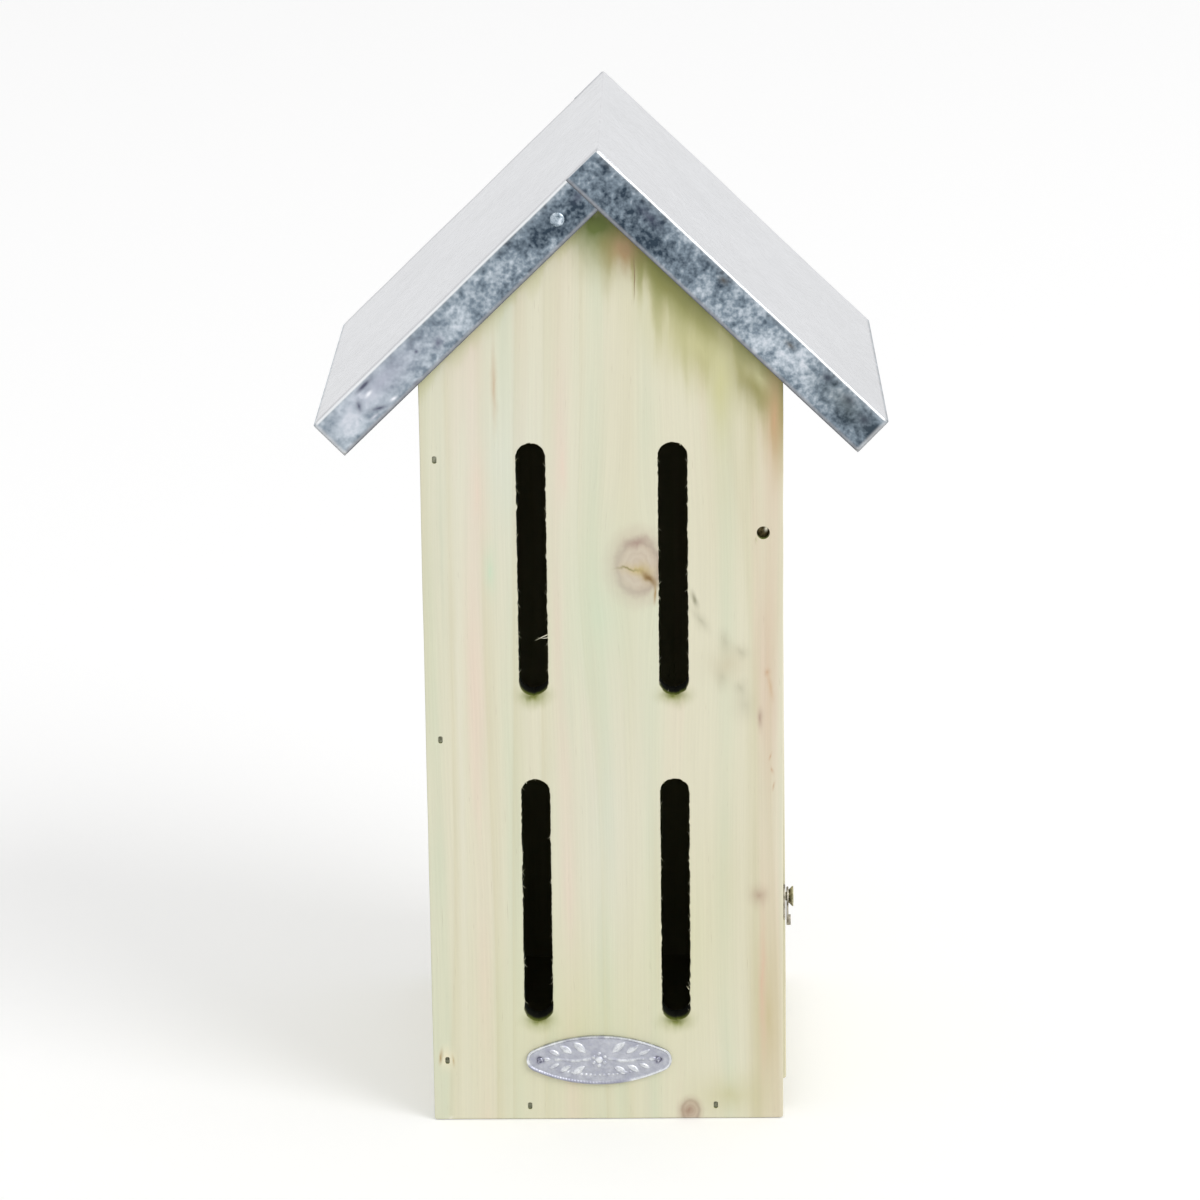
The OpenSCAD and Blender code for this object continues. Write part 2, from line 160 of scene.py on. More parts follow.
class PlateSettings(bpy.types.PropertyGroup):
    """Sizes and colours of the cast oval plate."""

    rim: length("Rim width", 0.9 * MM, "Width of the raised rim")
    rim_height: length("Rim height", 0.35 * MM, "Height of the rim above the field")
    thickness: length("Thickness", 0.8 * MM, "Thickness of the plate inside its rim")
    relief: length("Relief", 0.3 * MM, "Height of the leaves above the field")
    stipple: length("Stipple", 0.05 * MM, "Depth of the stippled field")
    dish: length("Dish", 0.15 * MM, "Depth of the dishes round the nails")
    metal: colour("Metal", "#cbced3", "Cast metal of the field")
    # Worn brightens the rubbed leaves and a highlight painted on the rim. Stain is shade painted under the rim's
    # middle and round the nails
    worn: colour("Worn", "#eef0f4", "Metal rubbed bright on the raised parts")
    shade: colour("Shade", "#adafbc", "Dark film in the hollows")
    stain: colour("Stain", "#6b6880", "Dirt round the nails and under the rim")


class HardwareSettings(bpy.types.PropertyGroup):
    """Sizes and colours of nails, pins and the catch."""

    roof_head: length("Roof nail head", 0.8 * MM, "Height of a roof nail's domed head")
    roof_shank: length("Roof nail shank", 0.8 * MM, "Radius of a roof nail's shank")
    plate_head: length("Plate nail head", 0.45 * MM, "Height of a plate nail's domed head")
    plate_shank: length("Plate nail shank", 0.55 * MM, "Radius of a plate nail's shank")
    pin_head: length("Door pin head", 1.0 * MM, "Thickness of a door pin's head")
    pin_shank: length("Door pin shank", 1.3 * MM, "Radius of a door pin")
    bevel: length("Bevel", 0.12 * MM, "Width of the catch pieces' rounded edges")
    zinc: colour("Zinc", "#9dabb6", "Zinc plating on the nails")
    # Steel is browned steel, kept near black as painted shade of the holes that the pins' heads sit in
    steel: colour("Steel", "#3a321f", "Browned steel of the pins")
    brass: colour("Brass", "#bdb998", "Yellowed plating of the catch screw")
    dull: colour("Dull", "#b3ad9e", "Dull plating of the catch plate and arm")


class StageSettings(bpy.types.PropertyGroup):
    """The camera, the lamps and the floor."""

    lens: FloatProperty(name="Lens", description="Focal length in mm on a 36 mm sensor", min=1, default=137)
    sky: share("Sky", 0.74, "Brightness of the studio all round, where 1 lights a surface as it is written")
    key: share("Key", 0.36, "Brightness that the key lamp adds on a surface that faces it")
    key_size: length("Key size", 3.4, "Width of the key lamp")
    floor: colour("Floor", "#f4f4f4", "Pale floor")
    lift: share("Lift", 0.17, "How much brighter the floor shows than it is lit")


class HouseSettings(bpy.types.PropertyGroup):
    """All settings, held by the scene."""

    wood: PointerProperty(type=WoodSettings)
    sheet: PointerProperty(type=SheetSettings)
    plate: PointerProperty(type=PlateSettings)
    hardware: PointerProperty(type=HardwareSettings)
    stage: PointerProperty(type=StageSettings)


def node_points(node):
    """The points of a CAD node's mesh, in metres."""
    mesh = frame["nodes"][node].data
    points = np.empty(len(mesh.vertices) * 3, np.float32)
    mesh.vertices.foreach_get("co", points)
    return points.astype(float).reshape(-1, 3)


def node_box(node):
    """The lowest and highest corner of a CAD node, as arrays."""
    return tuple(np.array(corner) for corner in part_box(node))


def solid_boxes(node, axis):
    """The boxes of a node's separate solids, parted wherever its points leave a gap along one axis."""
    points = node_points(node)
    points = points[np.argsort(points[:, axis])]
    cuts = np.flatnonzero(np.diff(points[:, axis]) > SOLID_GAP) + 1
    return [(group.min(0), group.max(0)) for group in np.split(points, cuts)]


def outline_of(node):
    """The corners of a board's outline in X and Z, counter-clockwise seen from the front: the hull of the
    points that lie on its front end."""
    points = node_points(node)
    flat = points[points[:, 1] < points[:, 1].min() + ON_PLANE][:, [0, 2]]
    hull = flat[convex_hull_2d(flat.tolist())]
    hull = hull[np.linalg.norm(hull - np.roll(hull, 1, 0), axis=1) > ON_PLANE]
    turn = cross_2d(np.roll(hull, -1, 0) - hull, hull - np.roll(hull, 1, 0))
    hull = hull[np.abs(turn) > ON_PLANE * MM]
    return hull if cross_2d(hull, np.roll(hull, -1, 0)).sum() > 0 else hull[::-1]


def cross_2d(a, b):
    """The cross product of flat vectors, above zero where b lies counter-clockwise of a."""
    return a[:, 0] * b[:, 1] - a[:, 1] * b[:, 0]


def smooth(low, high, value):
    """A smooth step from 0 at low to 1 at high."""
    t = np.clip((value - low) / (high - low), 0, 1)
    return t * t * (3 - 2 * t)


def wander(rng, count, span):
    """Closed random values about zero: white noise averaged over a window of span values round the loop."""
    noise = np.fft.rfft(rng.standard_normal(count))
    noise *= np.exp(-0.5 * (np.arange(len(noise)) * span / count * 2) ** 2)
    values = np.fft.irfft(noise, count)
    return values / max(values.std(), 1e-9)


def grid_faces(rows, columns, wrap=False):
    """Quads between the points of a grid that is counted row by row. Wrapped, each row closes on itself."""
    row = np.arange(rows - 1)[:, None] * columns
    here = np.arange(columns if wrap else columns - 1)
    there = (here + 1) % columns
    quads = np.stack([row + here, row + columns + here, row + columns + there, row + there], -1)
    return quads.reshape(-1, 4)


def capped_tubes(rings):
    """Closed tubes from an array shaped (tubes, rings, points, 3). Neighbouring rings are joined by quads,
    and each end is closed by a fan round the middle of its last ring."""
    tubes, count, sides = rings.shape[:3]
    points = np.concatenate([rings.reshape(tubes, -1, 3), rings[:, [0, -1]].mean(2)], 1)
    size = count * sides + 2
    here = np.arange(sides)
    there = (here + 1) % sides
    last = (count - 1) * sides
    fans = np.concatenate(
        [
            np.stack([np.full(sides, size - 2), here, there], 1),
            np.stack([np.full(sides, size - 1), last + there, last + here], 1),
        ]
    )
    first = np.arange(tubes)[:, None, None] * size
    quads = (grid_faces(count, sides, True) + first).reshape(-1, 4)
    return points.reshape(-1, 3), quads, (fans + first).reshape(-1, 3)


def face_volume(points, faces):
    """Six times the volume under an array of faces, each split into a fan of triangles."""
    first = points[faces[:, 0]]
    total = 0.0
    for i in range(1, faces.shape[1] - 1):
        total += (first * np.cross(points[faces[:, i]], points[faces[:, i + 1]])).sum()
    return total


def add_piece(name, points, *face_sets, finish, slot, body="house", replaces=(), flat_ends=False):
    """Makes a closed mesh from an array of points in metres and arrays of faces, with its faces outwards,
    and gives it its finish, the body that it rides on and the CAD nodes that it stands for. With flat ends,
    the last array's faces are shaded flat."""
    if sum(face_volume(points, faces) for faces in face_sets) < 0:
        face_sets = [faces[:, ::-1] for faces in face_sets]
    sizes = np.concatenate([np.full(len(faces), faces.shape[1]) for faces in face_sets])
    mesh = bpy.data.meshes.new(name)
    mesh.vertices.add(len(points))
    mesh.vertices.foreach_set("co", points.astype(np.float32).ravel())
    mesh.loops.add(int(sizes.sum()))
    corners = np.concatenate([faces.ravel() for faces in face_sets])
    mesh.loops.foreach_set("vertex_index", corners.astype(np.int32))
    mesh.polygons.add(len(sizes))
    mesh.polygons.foreach_set("loop_start", (np.cumsum(sizes) - sizes).astype(np.int32))
    smoothed = np.ones(len(sizes), bool)
    if flat_ends:
        smoothed[-len(face_sets[-1]) :] = False
    mesh.polygons.foreach_set("use_smooth", smoothed)
    mesh.update(calc_edges=True)
    if mesh.validate():
        raise ValueError(f"{name} has faces that Blender had to mend")
    return dress(bpy.data.objects.new(name, mesh), finish, body, replaces)


def dress(made, finish, body, replaces):
    """Links an object, with its finish, the body it rides on and the CAD nodes it stands for."""
    bpy.context.scene.collection.objects.link(made)
    made.data.materials.clear()
    made.data.materials.append(finish)
    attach(made, body)
    if replaces:
        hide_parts(*replaces)
    return made


def face_weighted(made):
    """Shades the wide faces flat and lets the small rounded ones take up the turn between them."""
    made.modifiers.new("Face weighted normals", "WEIGHTED_NORMAL").weight = 100


def point_values(made, name, values):
    """Stores one number a point on a mesh, for its material to read."""
    stored = made.data.attributes.new(name, "FLOAT", "POINT").data
    stored.foreach_set("value", values.astype(np.float32).ravel())


def rgba(shade):
    """A colour as sockets take it, from sRGB hex, from linear red, green and blue, or from one brightness."""
    if isinstance(shade, str):
        shade = linear(shade)
    elif isinstance(shade, (int, float)):
        shade = (shade, shade, shade)
    return (*shade, 1.0)


def add_node(tree, kind, *inputs, stops=(), between="LINEAR", **settings):
    """Adds one shader node and returns it. Its kind may be followed by its operation, or by a Mix node's
    data type. Inputs fill its sockets in use from the first on. Settings with a capital are sockets by
    name, with underscores for spaces, and the others are its properties. A socket gets a value, another
    socket, or a node whose first output in use is taken. Stops are a colour ramp's places and colours, and
    between says how it blends them."""
    kind, _, mode = kind.partition(" ")
    made = tree.nodes.new("ShaderNode" + kind)
    if mode:
        setattr(made, "data_type" if kind == "Mix" else "operation", mode)
    named = {key: settings.pop(key) for key in list(settings) if key[0].isupper()}
    for key, value in settings.items():
        setattr(made, key, value)
    filled = list(zip([socket for socket in made.inputs if socket.enabled], inputs))
    filled += [(made.inputs[key.replace("_", " ")], value) for key, value in named.items()]
    for socket, value in filled:
        if isinstance(value, bpy.types.Node):
            value = next(output for output in value.outputs if output.enabled)
        if isinstance(value, bpy.types.NodeSocket):
            tree.links.new(value, socket)
        else:
            socket.default_value = rgba(value) if socket.type == "RGBA" else value
    if stops:
        made.color_ramp.interpolation = between
        elements = made.color_ramp.elements
        while len(elements) < len(stops):
            elements.new(0.5)
        for element, (place, shade) in zip(elements, stops):
            element.position = place
            element.color = rgba(shade)
    return made


def new_finish(name):
    """A new material, and the function that adds nodes to it."""
    finish = bpy.data.materials.new(name)
    finish.use_nodes = True
    finish.node_tree.nodes.clear()
    return finish, partial(add_node, finish.node_tree)


def millimetres(add, shift=(0, 0, 0), turn=(0, 0, 0)):
    """Object coordinates in mm, turned and then moved."""
    return add("Mapping", add("TexCoord").outputs["Object"], shift, turn, (1000, 1000, 1000))


def at_scale(add, place, size, detail=2.0):
    """Noise whose features measure that many mm, the same all round or each its own along X, Y and Z."""
    scaled = add("Mapping", place, Scale=(1 / np.broadcast_to(size, 3)).tolist())
    return add("TexNoise", scaled, 1.0, detail)


def stirred(add, place, size, detail, reach):
    """A place moved about by noise of that size and detail, by up to half of the reach in mm to each side."""
    noise = at_scale(add, place, size, detail).outputs["Color"]
    swing = add("VectorMath SUBTRACT", noise, (0.5, 0.5, 0.5))
    return add("VectorMath MULTIPLY_ADD", swing, reach, place)


def distance(add, place, middle, weights):
    """How far a place lies from a middle when each axis counts by its weight, and the plain way to it."""
    away = add("VectorMath SUBTRACT", place, middle)
    weighted = add("VectorMath MULTIPLY", away, weights)
    return add("VectorMath LENGTH", weighted), away


def paint_marks(add, base, place, marks, blend="MIX"):
    """Soft ellipses over a base colour. A mark is its middle in X and Z, its half width and half height in
    mm and its clockwise turn in degrees, all seen from the front, then its colour and its strength."""
    for x, z, half_w, half_h, turn, shade, strength in marks:
        level = add("VectorMath ADD", place, (-x, 0, -z))
        turned = add("Mapping", level, Rotation=(0, -math.radians(turn), 0))
        sized = add("Mapping", turned, Scale=(1 / half_w, 0, 1 / half_h))
        blob = add("TexGradient", sized, gradient_type="QUADRATIC_SPHERE")
        full = add("Math MULTIPLY", blob, strength * MARK_CORE, use_clamp=True)
        base = add("Mix RGBA", full, base, shade, blend_type=blend)
    return base


def paint_drips(add, base, place, edge, reach, shade, strength):
    """A stain that starts at a sloping edge and runs down the grain in streaks. The edge is its height at
    X = 0, its fall for each mm to the right and where it starts in X. Reach is the streaks' least and
    greatest length in mm."""
    height, fall, start = edge
    axes = add("SeparateXYZ", place).outputs
    line = add("Math MULTIPLY_ADD", axes["X"], -fall, height)
    below = add("Math SUBTRACT", line, axes["Z"])
    long = add("MapRange", at_scale(add, place, (5.5, 5.5, 150)), 0.36, 0.66, *reach)
    shares = add("Math DIVIDE", below, long)
    fade = add("MapRange", shares, 0, 1, strength, 0, interpolation_type="SMOOTHSTEP")
    span = start - DRIP_BLUR, start + DRIP_BLUR
    side = add("MapRange", axes["X"], *span, interpolation_type="SMOOTHSTEP")
    full = add("Math MULTIPLY", fade, side)
    return add("Mix RGBA", full, base, shade)


def bend_round_knots(add, place, knots):
    """Moves the grain aside round each knot: a point's distance from the knot's middle across the grain
    shrinks by the share r2 / (d2 + r2), where d is its distance and r the knot's radius."""
    for x, z, radius in knots:
        far, away = distance(add, place, (x, 0, z), (1, 0, 0.45))
        whole = add("Math MULTIPLY_ADD", far, far, radius**2)
        pull = add("Math DIVIDE", radius**2, whole)
        back = add("VectorMath MULTIPLY", away, (-0.8, 0, 0))
        moved = add("VectorMath SCALE", back, pull)
        place = add("VectorMath ADD", place, moved)
    return place


def paint_knots(add, base, place, knots):
    """Rings of rosy and brown wood inside each knot, with a darker rim that fades into the board."""
    pale, heart, rim = "#cebcaa", "#c3ae9b", "#ae9788"
    rings = [(0, pale), (0.14, heart), (0.2, pale), (0.29, heart), (0.35, pale), (0.43, heart)]
    rings += [(0.5, rim), (0.55, rim), (0.68, heart)]
    cover = [(0, 0.8), (0.3, 0.75), (0.52, 0.75), (0.66, 0.35), (0.95, 0)]
    ragged = at_scale(add, place, 2.6, 3)
    for x, z, radius in knots:
        far, _ = distance(add, place, (x, 0, z), (1.18 / radius, 0, 0.92 / radius))
        rough = add("Math MULTIPLY_ADD", ragged, 0.34, far)
        level = add("Math SUBTRACT", rough, 0.17)
        halved = add("Math MULTIPLY", level, 0.6)
        shade, mask = (add("ValToRGB", halved, stops=stops) for stops in (rings, cover))
        base = add("Mix RGBA", mask, base, shade)
    return base


def cavity(add, aside):
    """A mask of the faces that look into the chamber: those whose normal points back towards its middle, and
    which lie in its box, with a little room added all round and the aside to the sides as well."""
    low, high = OPENINGS["chamber"] / MM
    middle, half = (low + high) / 2, (high - low) / 2 + CHAMBER_ROOM
    half[0] += aside
    away = add("VectorMath SUBTRACT", millimetres(add), middle.tolist())
    shares = add("VectorMath DIVIDE", away, (-half).tolist())
    axes = add("SeparateXYZ", shares).outputs
    sideways, along = (add("Math ABSOLUTE", axes[axis]) for axis in "XY")
    wide = add("Math MAXIMUM", sideways, along)
    # Upwards the box has no end, so only its floor counts
    level = add("Math MAXIMUM", wide, axes["Z"])
    inside = add("Math LESS_THAN", level, 1.0)
    facing = add("VectorMath DOT_PRODUCT", away, add("TexCoord").outputs["Normal"])
    inward = add("Math LESS_THAN", facing, 0.0)
    return add("Math MULTIPLY", inside, inward)


def treated_softwood(part, wood, turn=(0, 0, 0), knots=(), marks=(), bands=(), drips=(), aside=0):
    """Pressure-treated and planed spruce, left bare: a matt, cream to green face with soft upright bands,
    faint latewood lines, and end grain and cut walls that drank more of the preservative. Shade is painted
    on the cut walls, which darken to near black deep in, and over the faces inside the chamber. The attribute
    "into" says how far a cut wall's points lie into the board, as a share of its thickness. The grain runs
    along the pattern's Z. Growth rings are cylinders round a pith behind the board, bent by slow noise."""
    finish, add = new_finish("Treated spruce, " + part)
    shift = GRAIN_SHIFTS[part]
    knots = [(x + shift[0], z + shift[2], radius) for x, z, radius in knots]
    face = millimetres(add, shift, turn)
    place = bend_round_knots(add, stirred(add, face, (60, 60, 260), 1, (9, 9, 0)), knots)

    # Growth rings: the distance from the pith in years, of which the end is dark
    out, _ = distance(add, place, PITH, (1, 1, 0))
    even = add("Math DIVIDE", out, wood.ring / MM)
    ring = add("Math MULTIPLY_ADD", at_scale(add, place, (11, 11, 500), 1), 2.2, even)
    year = add("Math FRACT", ring)
    late = add("ValToRGB", year, stops=[(0, 0.25), (0.1, 0), (0.55, 0.1), (0.93, 1), (1, 0.3)])

    tint = at_scale(add, place, (11, 13, 170))
    tints = [(0.3, wood.green), (0.44, wood.cream), (0.56, wood.cream), (0.7, wood.rose)]
    base = add("ValToRGB", tint, stops=tints)
    if bands:
        first, last = bands[0][0], bands[-1][0]
        along = add("MapRange", add("SeparateXYZ", place), first, last)
        stops = [((x - first) / (last - first), shade) for x, shade in bands]
        laid = add("ValToRGB", along, stops=stops, between="EASE")
        hold = add("MapRange", at_scale(add, place, (13, 13, 60), 1), 0.35, 0.65, 0.2, 0.9)
        base = add("Mix RGBA", hold, base, laid)
    lines = add("Math MULTIPLY", late, at_scale(add, place, (11, 11, 200), 1))
    faint = add("Math MULTIPLY", lines, 0.7)
    base = add("Mix RGBA", faint, base, wood.latewood)
    fine = at_scale(add, place, (0.8, 0.8, 46), 3)
    depth = add("MapRange", fine, 0.3, 0.7, 0.972, 1.02)
    base = add("Mix RGBA", 1.0, base, depth, blend_type="MULTIPLY")
    specks = add("MapRange", at_scale(add, place, (0.34, 0.34, 7), 1), 0.72, 0.82, 0, 0.22)
    base = add("Mix RGBA", specks, base, wood.bark)
    base = paint_knots(add, base, face, knots)

    # Stains spread with a frayed edge
    frayed = stirred(add, face, (3.5, 3.5, 9), 3, (1.7, 0, 5))
    for drip in drips:
        base = paint_drips(add, base, frayed, *drip)
    base = paint_marks(add, base, frayed, marks)

    # End grain, and painted shade multiplied over the faces inside the chamber
    facing = add("TexCoord").outputs["Normal"]
    normal = add("Mapping", facing, Rotation=turn, vector_type="VECTOR")
    up = add("SeparateXYZ", normal).outputs["Z"]
    end = add("MapRange", add("Math ABSOLUTE", up), 0.45, 0.95, 0, 0.8)
    base = add("Mix RGBA", end, base, wood.olive)
    inside = cavity(add, aside)
    base = add("Mix RGBA", inside, base, wood.chamber, blend_type="MULTIPLY")

    # Cut walls: green stain near the front, darkening to near black deep in, which is painted shade over the
    # preservative they drank
    into = add("Attribute", attribute_name="into").outputs["Fac"]
    level = add("MapRange", up, 0.1, 0.9)
    brim = add("Mix RGBA", level, wood.chamber, wood.pooled)
    deep = add("MapRange", into, 0.04, 0.45, interpolation_type="SMOOTHSTEP")
    walls = add("Mix RGBA", deep, brim, wood.soaked)
    # The board's inner face, whose normal points back across the house, stays bare between the slots
    across = add("VectorMath MULTIPLY", millimetres(add), (0, 1, 0))
    outward = add("VectorMath DOT_PRODUCT", across, facing)
    rim = add("MapRange", into, 0, 0.05, 0, add("MapRange", outward, -50, -30))
    base = add("Mix RGBA", rim, base, walls)

    relief = add("Math MULTIPLY_ADD", late, 0.5, fine)
    bump = add("Bump", Height=relief, Distance=0.09 * MM, Strength=0.6)
    add("OutputMaterial", add("BsdfPrincipled", Base_Color=base, Roughness=0.78, Normal=bump))
    return finish


def galvanised_zinc(name, sheet, zones=(), marks=()):
    """Hot-dip galvanised steel sheet: small frosty crystals that catch the light each in its own way. The slopes
    take a pale even grey, which is weathering and also a painted reflection of the bright sky above, a highlight
    is painted along the folds, and shade is painted on the cut edges and behind the left slope's fold."""
    finish, add = new_finish(name)
    place = millimetres(add)
    stir = at_scale(add, place, 3).outputs["Color"]
    bent = add("VectorMath MULTIPLY_ADD", stir, (2, 2, 2), place)
    cells = add("TexVoronoi", bent, MM / sheet.crystal, feature="SMOOTH_F1", Smoothness=0.7)
    crystal = add("SeparateXYZ", cells.outputs["Color"])
    tone = add("Math MULTIPLY_ADD", crystal, 0.2, -0.38)
    # Towards the left end the crystals blur into clouds
    sharp = add("MapRange", add("SeparateXYZ", place), -66, -28, 0.2, 0.85)
    frosting = add("Math SUBTRACT", at_scale(add, place, 1.3, 3), 0.5)
    tone = add("Math MULTIPLY_ADD", frosting, sharp, tone)
    for size, weight in ((2.6, 0.4), (6.0, 1.12)):
        tone = add("Math MULTIPLY_ADD", at_scale(add, place, size), weight, tone)
    tone = paint_marks(add, tone, place, zones, "LINEAR_LIGHT")
    crystals = [(0, sheet.slate), (0.43, sheet.steel), (0.78, sheet.frost), (1, "#d6dbe3")]
    base = paint_marks(add, add("ValToRGB", tone, stops=crystals), place, marks)

    # The slopes, found by their upward normal, take pale weathered zinc and a painted reflection of the bright sky
    # above
    up = add("SeparateXYZ", add("TexCoord").outputs["Normal"]).outputs["Z"]
    slope = add("MapRange", add("Math ABSOLUTE", up), 0.1, 0.6, 0, 0.94)
    patch = add("MapRange", at_scale(add, place, 22, 1), 0.35, 0.7, 0, 0.4)
    pale = add("Mix RGBA", patch, sheet.weathered, "#d0d1d4")
    faint = add("MapRange", crystal, 0, 1, 0.95, 1.03)
    pale = add("Mix RGBA", 1.0, pale, faint, blend_type="MULTIPLY")
    base = add("Mix RGBA", slope, base, pale)
    # The attribute is above 0 where a highlight is painted, along the folds and on the eave ends, and below 0
    # where shade is painted, on the cut edges and behind the left slope's fold
    light_and_shade = add("Attribute", attribute_name="burnish").outputs["Fac"]
    rubbed = add("Math MAXIMUM", light_and_shade, 0)
    base = add("Mix RGBA", rubbed, base, sheet.burnish)
    shade_mask = add("Math MULTIPLY", light_and_shade, -1, use_clamp=True)
    base = add("Mix RGBA", shade_mask, base, sheet.painted_shade)
    rough = add("Mix", slope, add("MapRange", tone, 0, 1, 0.5, 0.34), 0.25)
    bump = add("Bump", Height=tone, Distance=0.03 * MM, Strength=add("MapRange", slope, 0, 1, 0.4, 0))
    surface = add("BsdfPrincipled", Base_Color=base, Metallic=1.0, Roughness=rough, Normal=bump)
    add("OutputMaterial", surface)
    return finish


def worn_metal(name, dark, metal, bright, roughness, grain, wear=None, stain=None, metallic=1.0, marks=()):
    """A small cast, plated or drawn metal part: a cloudy film over the metal, whose grain is in mm. Where the
    attribute that wear names is high the metal is brighter, near 0 it is dark, and below 0 it takes the stain
    colour. On the plate the bright is rubbed leaves and a highlight painted on the rim, and the stain is shade
    painted under the rim and round the nails."""
    finish, add = new_finish(name)
    place = millimetres(add)
    cloud = at_scale(add, place, grain * 5, 4)
    fine = at_scale(add, place, grain)
    film = add("Math MULTIPLY_ADD", fine, 0.35, cloud)
    base = add("ValToRGB", film, stops=[(0.5, dark), (0.68, metal), (0.9, bright)])
    if wear:
        height = add("Attribute", attribute_name=wear).outputs["Fac"]
        hollow = add("MapRange", height, 0.25, 0, 0, 0.7)
        raised = add("MapRange", height, 0.45, 1, 0, 0.75)
        shade_mask = add("Math MULTIPLY", height, -1, use_clamp=True)
        for mask, coat in ((hollow, dark), (raised, bright), (shade_mask, stain)):
            base = add("Mix RGBA", mask, base, coat)
    base = paint_marks(add, base, place, marks)
    rough = add("MapRange", film, 0.4, 1, roughness + 0.1, roughness)
    bump = add("Bump", Height=fine, Distance=0.02 * MM, Strength=0.5)
    surface = add("BsdfPrincipled", Base_Color=base, Metallic=metallic, Roughness=rough, Normal=bump)
    add("OutputMaterial", surface)
    return finish


# Points of each rounded corner and eased edge
ARC_POINTS = 7
# Air under the sunk heads, so that no two faces lie in one plane
UNDER_HEAD = 0.2 * MM
# Spacing of the points along a board's straight edges, along a slot's and along a pin hole's
EDGE_STEP, SLOT_STEP, HOLE_STEP = 2.5 * MM, 0.45 * MM, 0.2 * MM
# How far planing wanders at a board's outline, and over how many of its points
PLANED, PLANED_SPAN = 0.04 * MM, 9
# How far a slot's edge is eased, as a share of the board's, and the radius of a pocket's edge
SLOT_EASE, POCKET_EASE = 0.7, 0.06 * MM
# Corner radius of a round-ended opening and of a brad's slit, as shares of the width
ROUND_END, SLIT_CORNER = 0.499, 0.4
# How much wider than their heads the brads' slits and the pins' holes are
SLIT_PLAY, HOLE_PLAY = 0.06 * MM, 0.1 * MM


def rounded_loop(corners, radius, step):
    """The closed loop round some corners, each replaced by an arc that touches both of its edges, with
    points no more than a step apart on the straights between."""
    parts = []
    for i, corner in enumerate(corners):
        back, ahead = corners[i - 1] - corner, corners[(i + 1) % len(corners)] - corner
        back, ahead = back / np.linalg.norm(back), ahead / np.linalg.norm(ahead)
        half = math.acos(np.clip(back @ ahead, -1, 1)) / 2
        middle = (back + ahead) / np.linalg.norm(back + ahead)
        centre = corner + middle * radius / math.sin(half)
        touch = [corner + way * radius / math.tan(half) - centre for way in (back, ahead)]
        start, end = (math.atan2(point[1], point[0]) for point in touch)
        turn = (end - start + math.pi) % (2 * math.pi) - math.pi
        angles = start + turn * np.linspace(0, 1, max(ARC_POINTS, int(abs(turn) * radius / step) + 1))
        parts.append(centre + radius * np.stack([np.cos(angles), np.sin(angles)], 1))
    loop = []
    for part, following in zip(parts, parts[1:] + parts[:1]):
        gap = following[0] - part[-1]
        count = int(np.linalg.norm(gap) / step) + 1
        loop += [part, part[-1] + gap * (np.arange(1, count) / count)[:, None]]
    loop = np.concatenate(loop)
    fresh = np.linalg.norm(loop - np.roll(loop, 1, 0), axis=1) > ON_PLANE
    return loop[fresh]


def box_loop(middle, width, height, radius, step):
    """A clockwise loop in X and Z round an opening: a box with rounded corners about its middle."""
    corners = np.array([[-1, -1], [-1, 1], [1, 1], [1, -1]]) * [width / 2, height / 2]
    return rounded_loop(np.array(middle)[[0, 2]] + corners, radius, step)


def into_wood(loop):
    """Normals to the left of a loop's direction, which is where the wood is, lengthened at the corners so
    that a loop moved along them keeps its distance."""
    ahead = np.roll(loop, -1, 0) - loop
    ahead /= np.linalg.norm(ahead, axis=1, keepdims=True)
    left = np.stack([-ahead[:, 1], ahead[:, 0]], 1)
    both = left + np.roll(left, 1, 0)
    return 2 * both / (both**2).sum(1, keepdims=True)


def eased_rings(loop, arris, depth, through):
    """The rings of a board's edge from its front to its depth, as points in X, depth and Z: a quarter
    round of the arris radius, the straight wall, and a quarter round again where the wall goes through."""
    turn = np.linspace(0, QUARTER, ARC_POINTS)
    inset, down = arris * (1 - np.sin(turn)), arris * (1 - np.cos(turn))
    if through:
        inset, down = np.concatenate([inset, inset[::-1]]), np.concatenate([down, depth - down[::-1]])
    else:
        inset, down = np.append(inset, 0), np.append(down, depth)
    flat = loop + into_wood(loop) * inset[:, None, None]
    deep = np.broadcast_to(down[:, None], flat.shape[:2])
    return np.stack([flat[..., 0], deep, flat[..., 1]], -1)


def cap(points, rings, facing):
    """Triangles over the area between closed rings of points, which face out of the board's outer side when
    facing is 1 and out of its inner side when it is -1. The rings are measured in mm, because the
    tessellation joins points that lie closer than about 0.00003 of its unit."""
    flat = [[Vector((x, z, 0)) for x, z in points[ring][:, [0, 2]] / MM] for ring in rings]
    faces = np.concatenate(rings)[np.array(tessellate_polygon(flat))]
    a, b, c = (points[faces[:, i]][:, [0, 2]] for i in range(3))
    area = cross_2d(b - a, c - a) * facing
    faces[area < 0] = faces[area < 0][:, ::-1]
    return faces[area != 0]


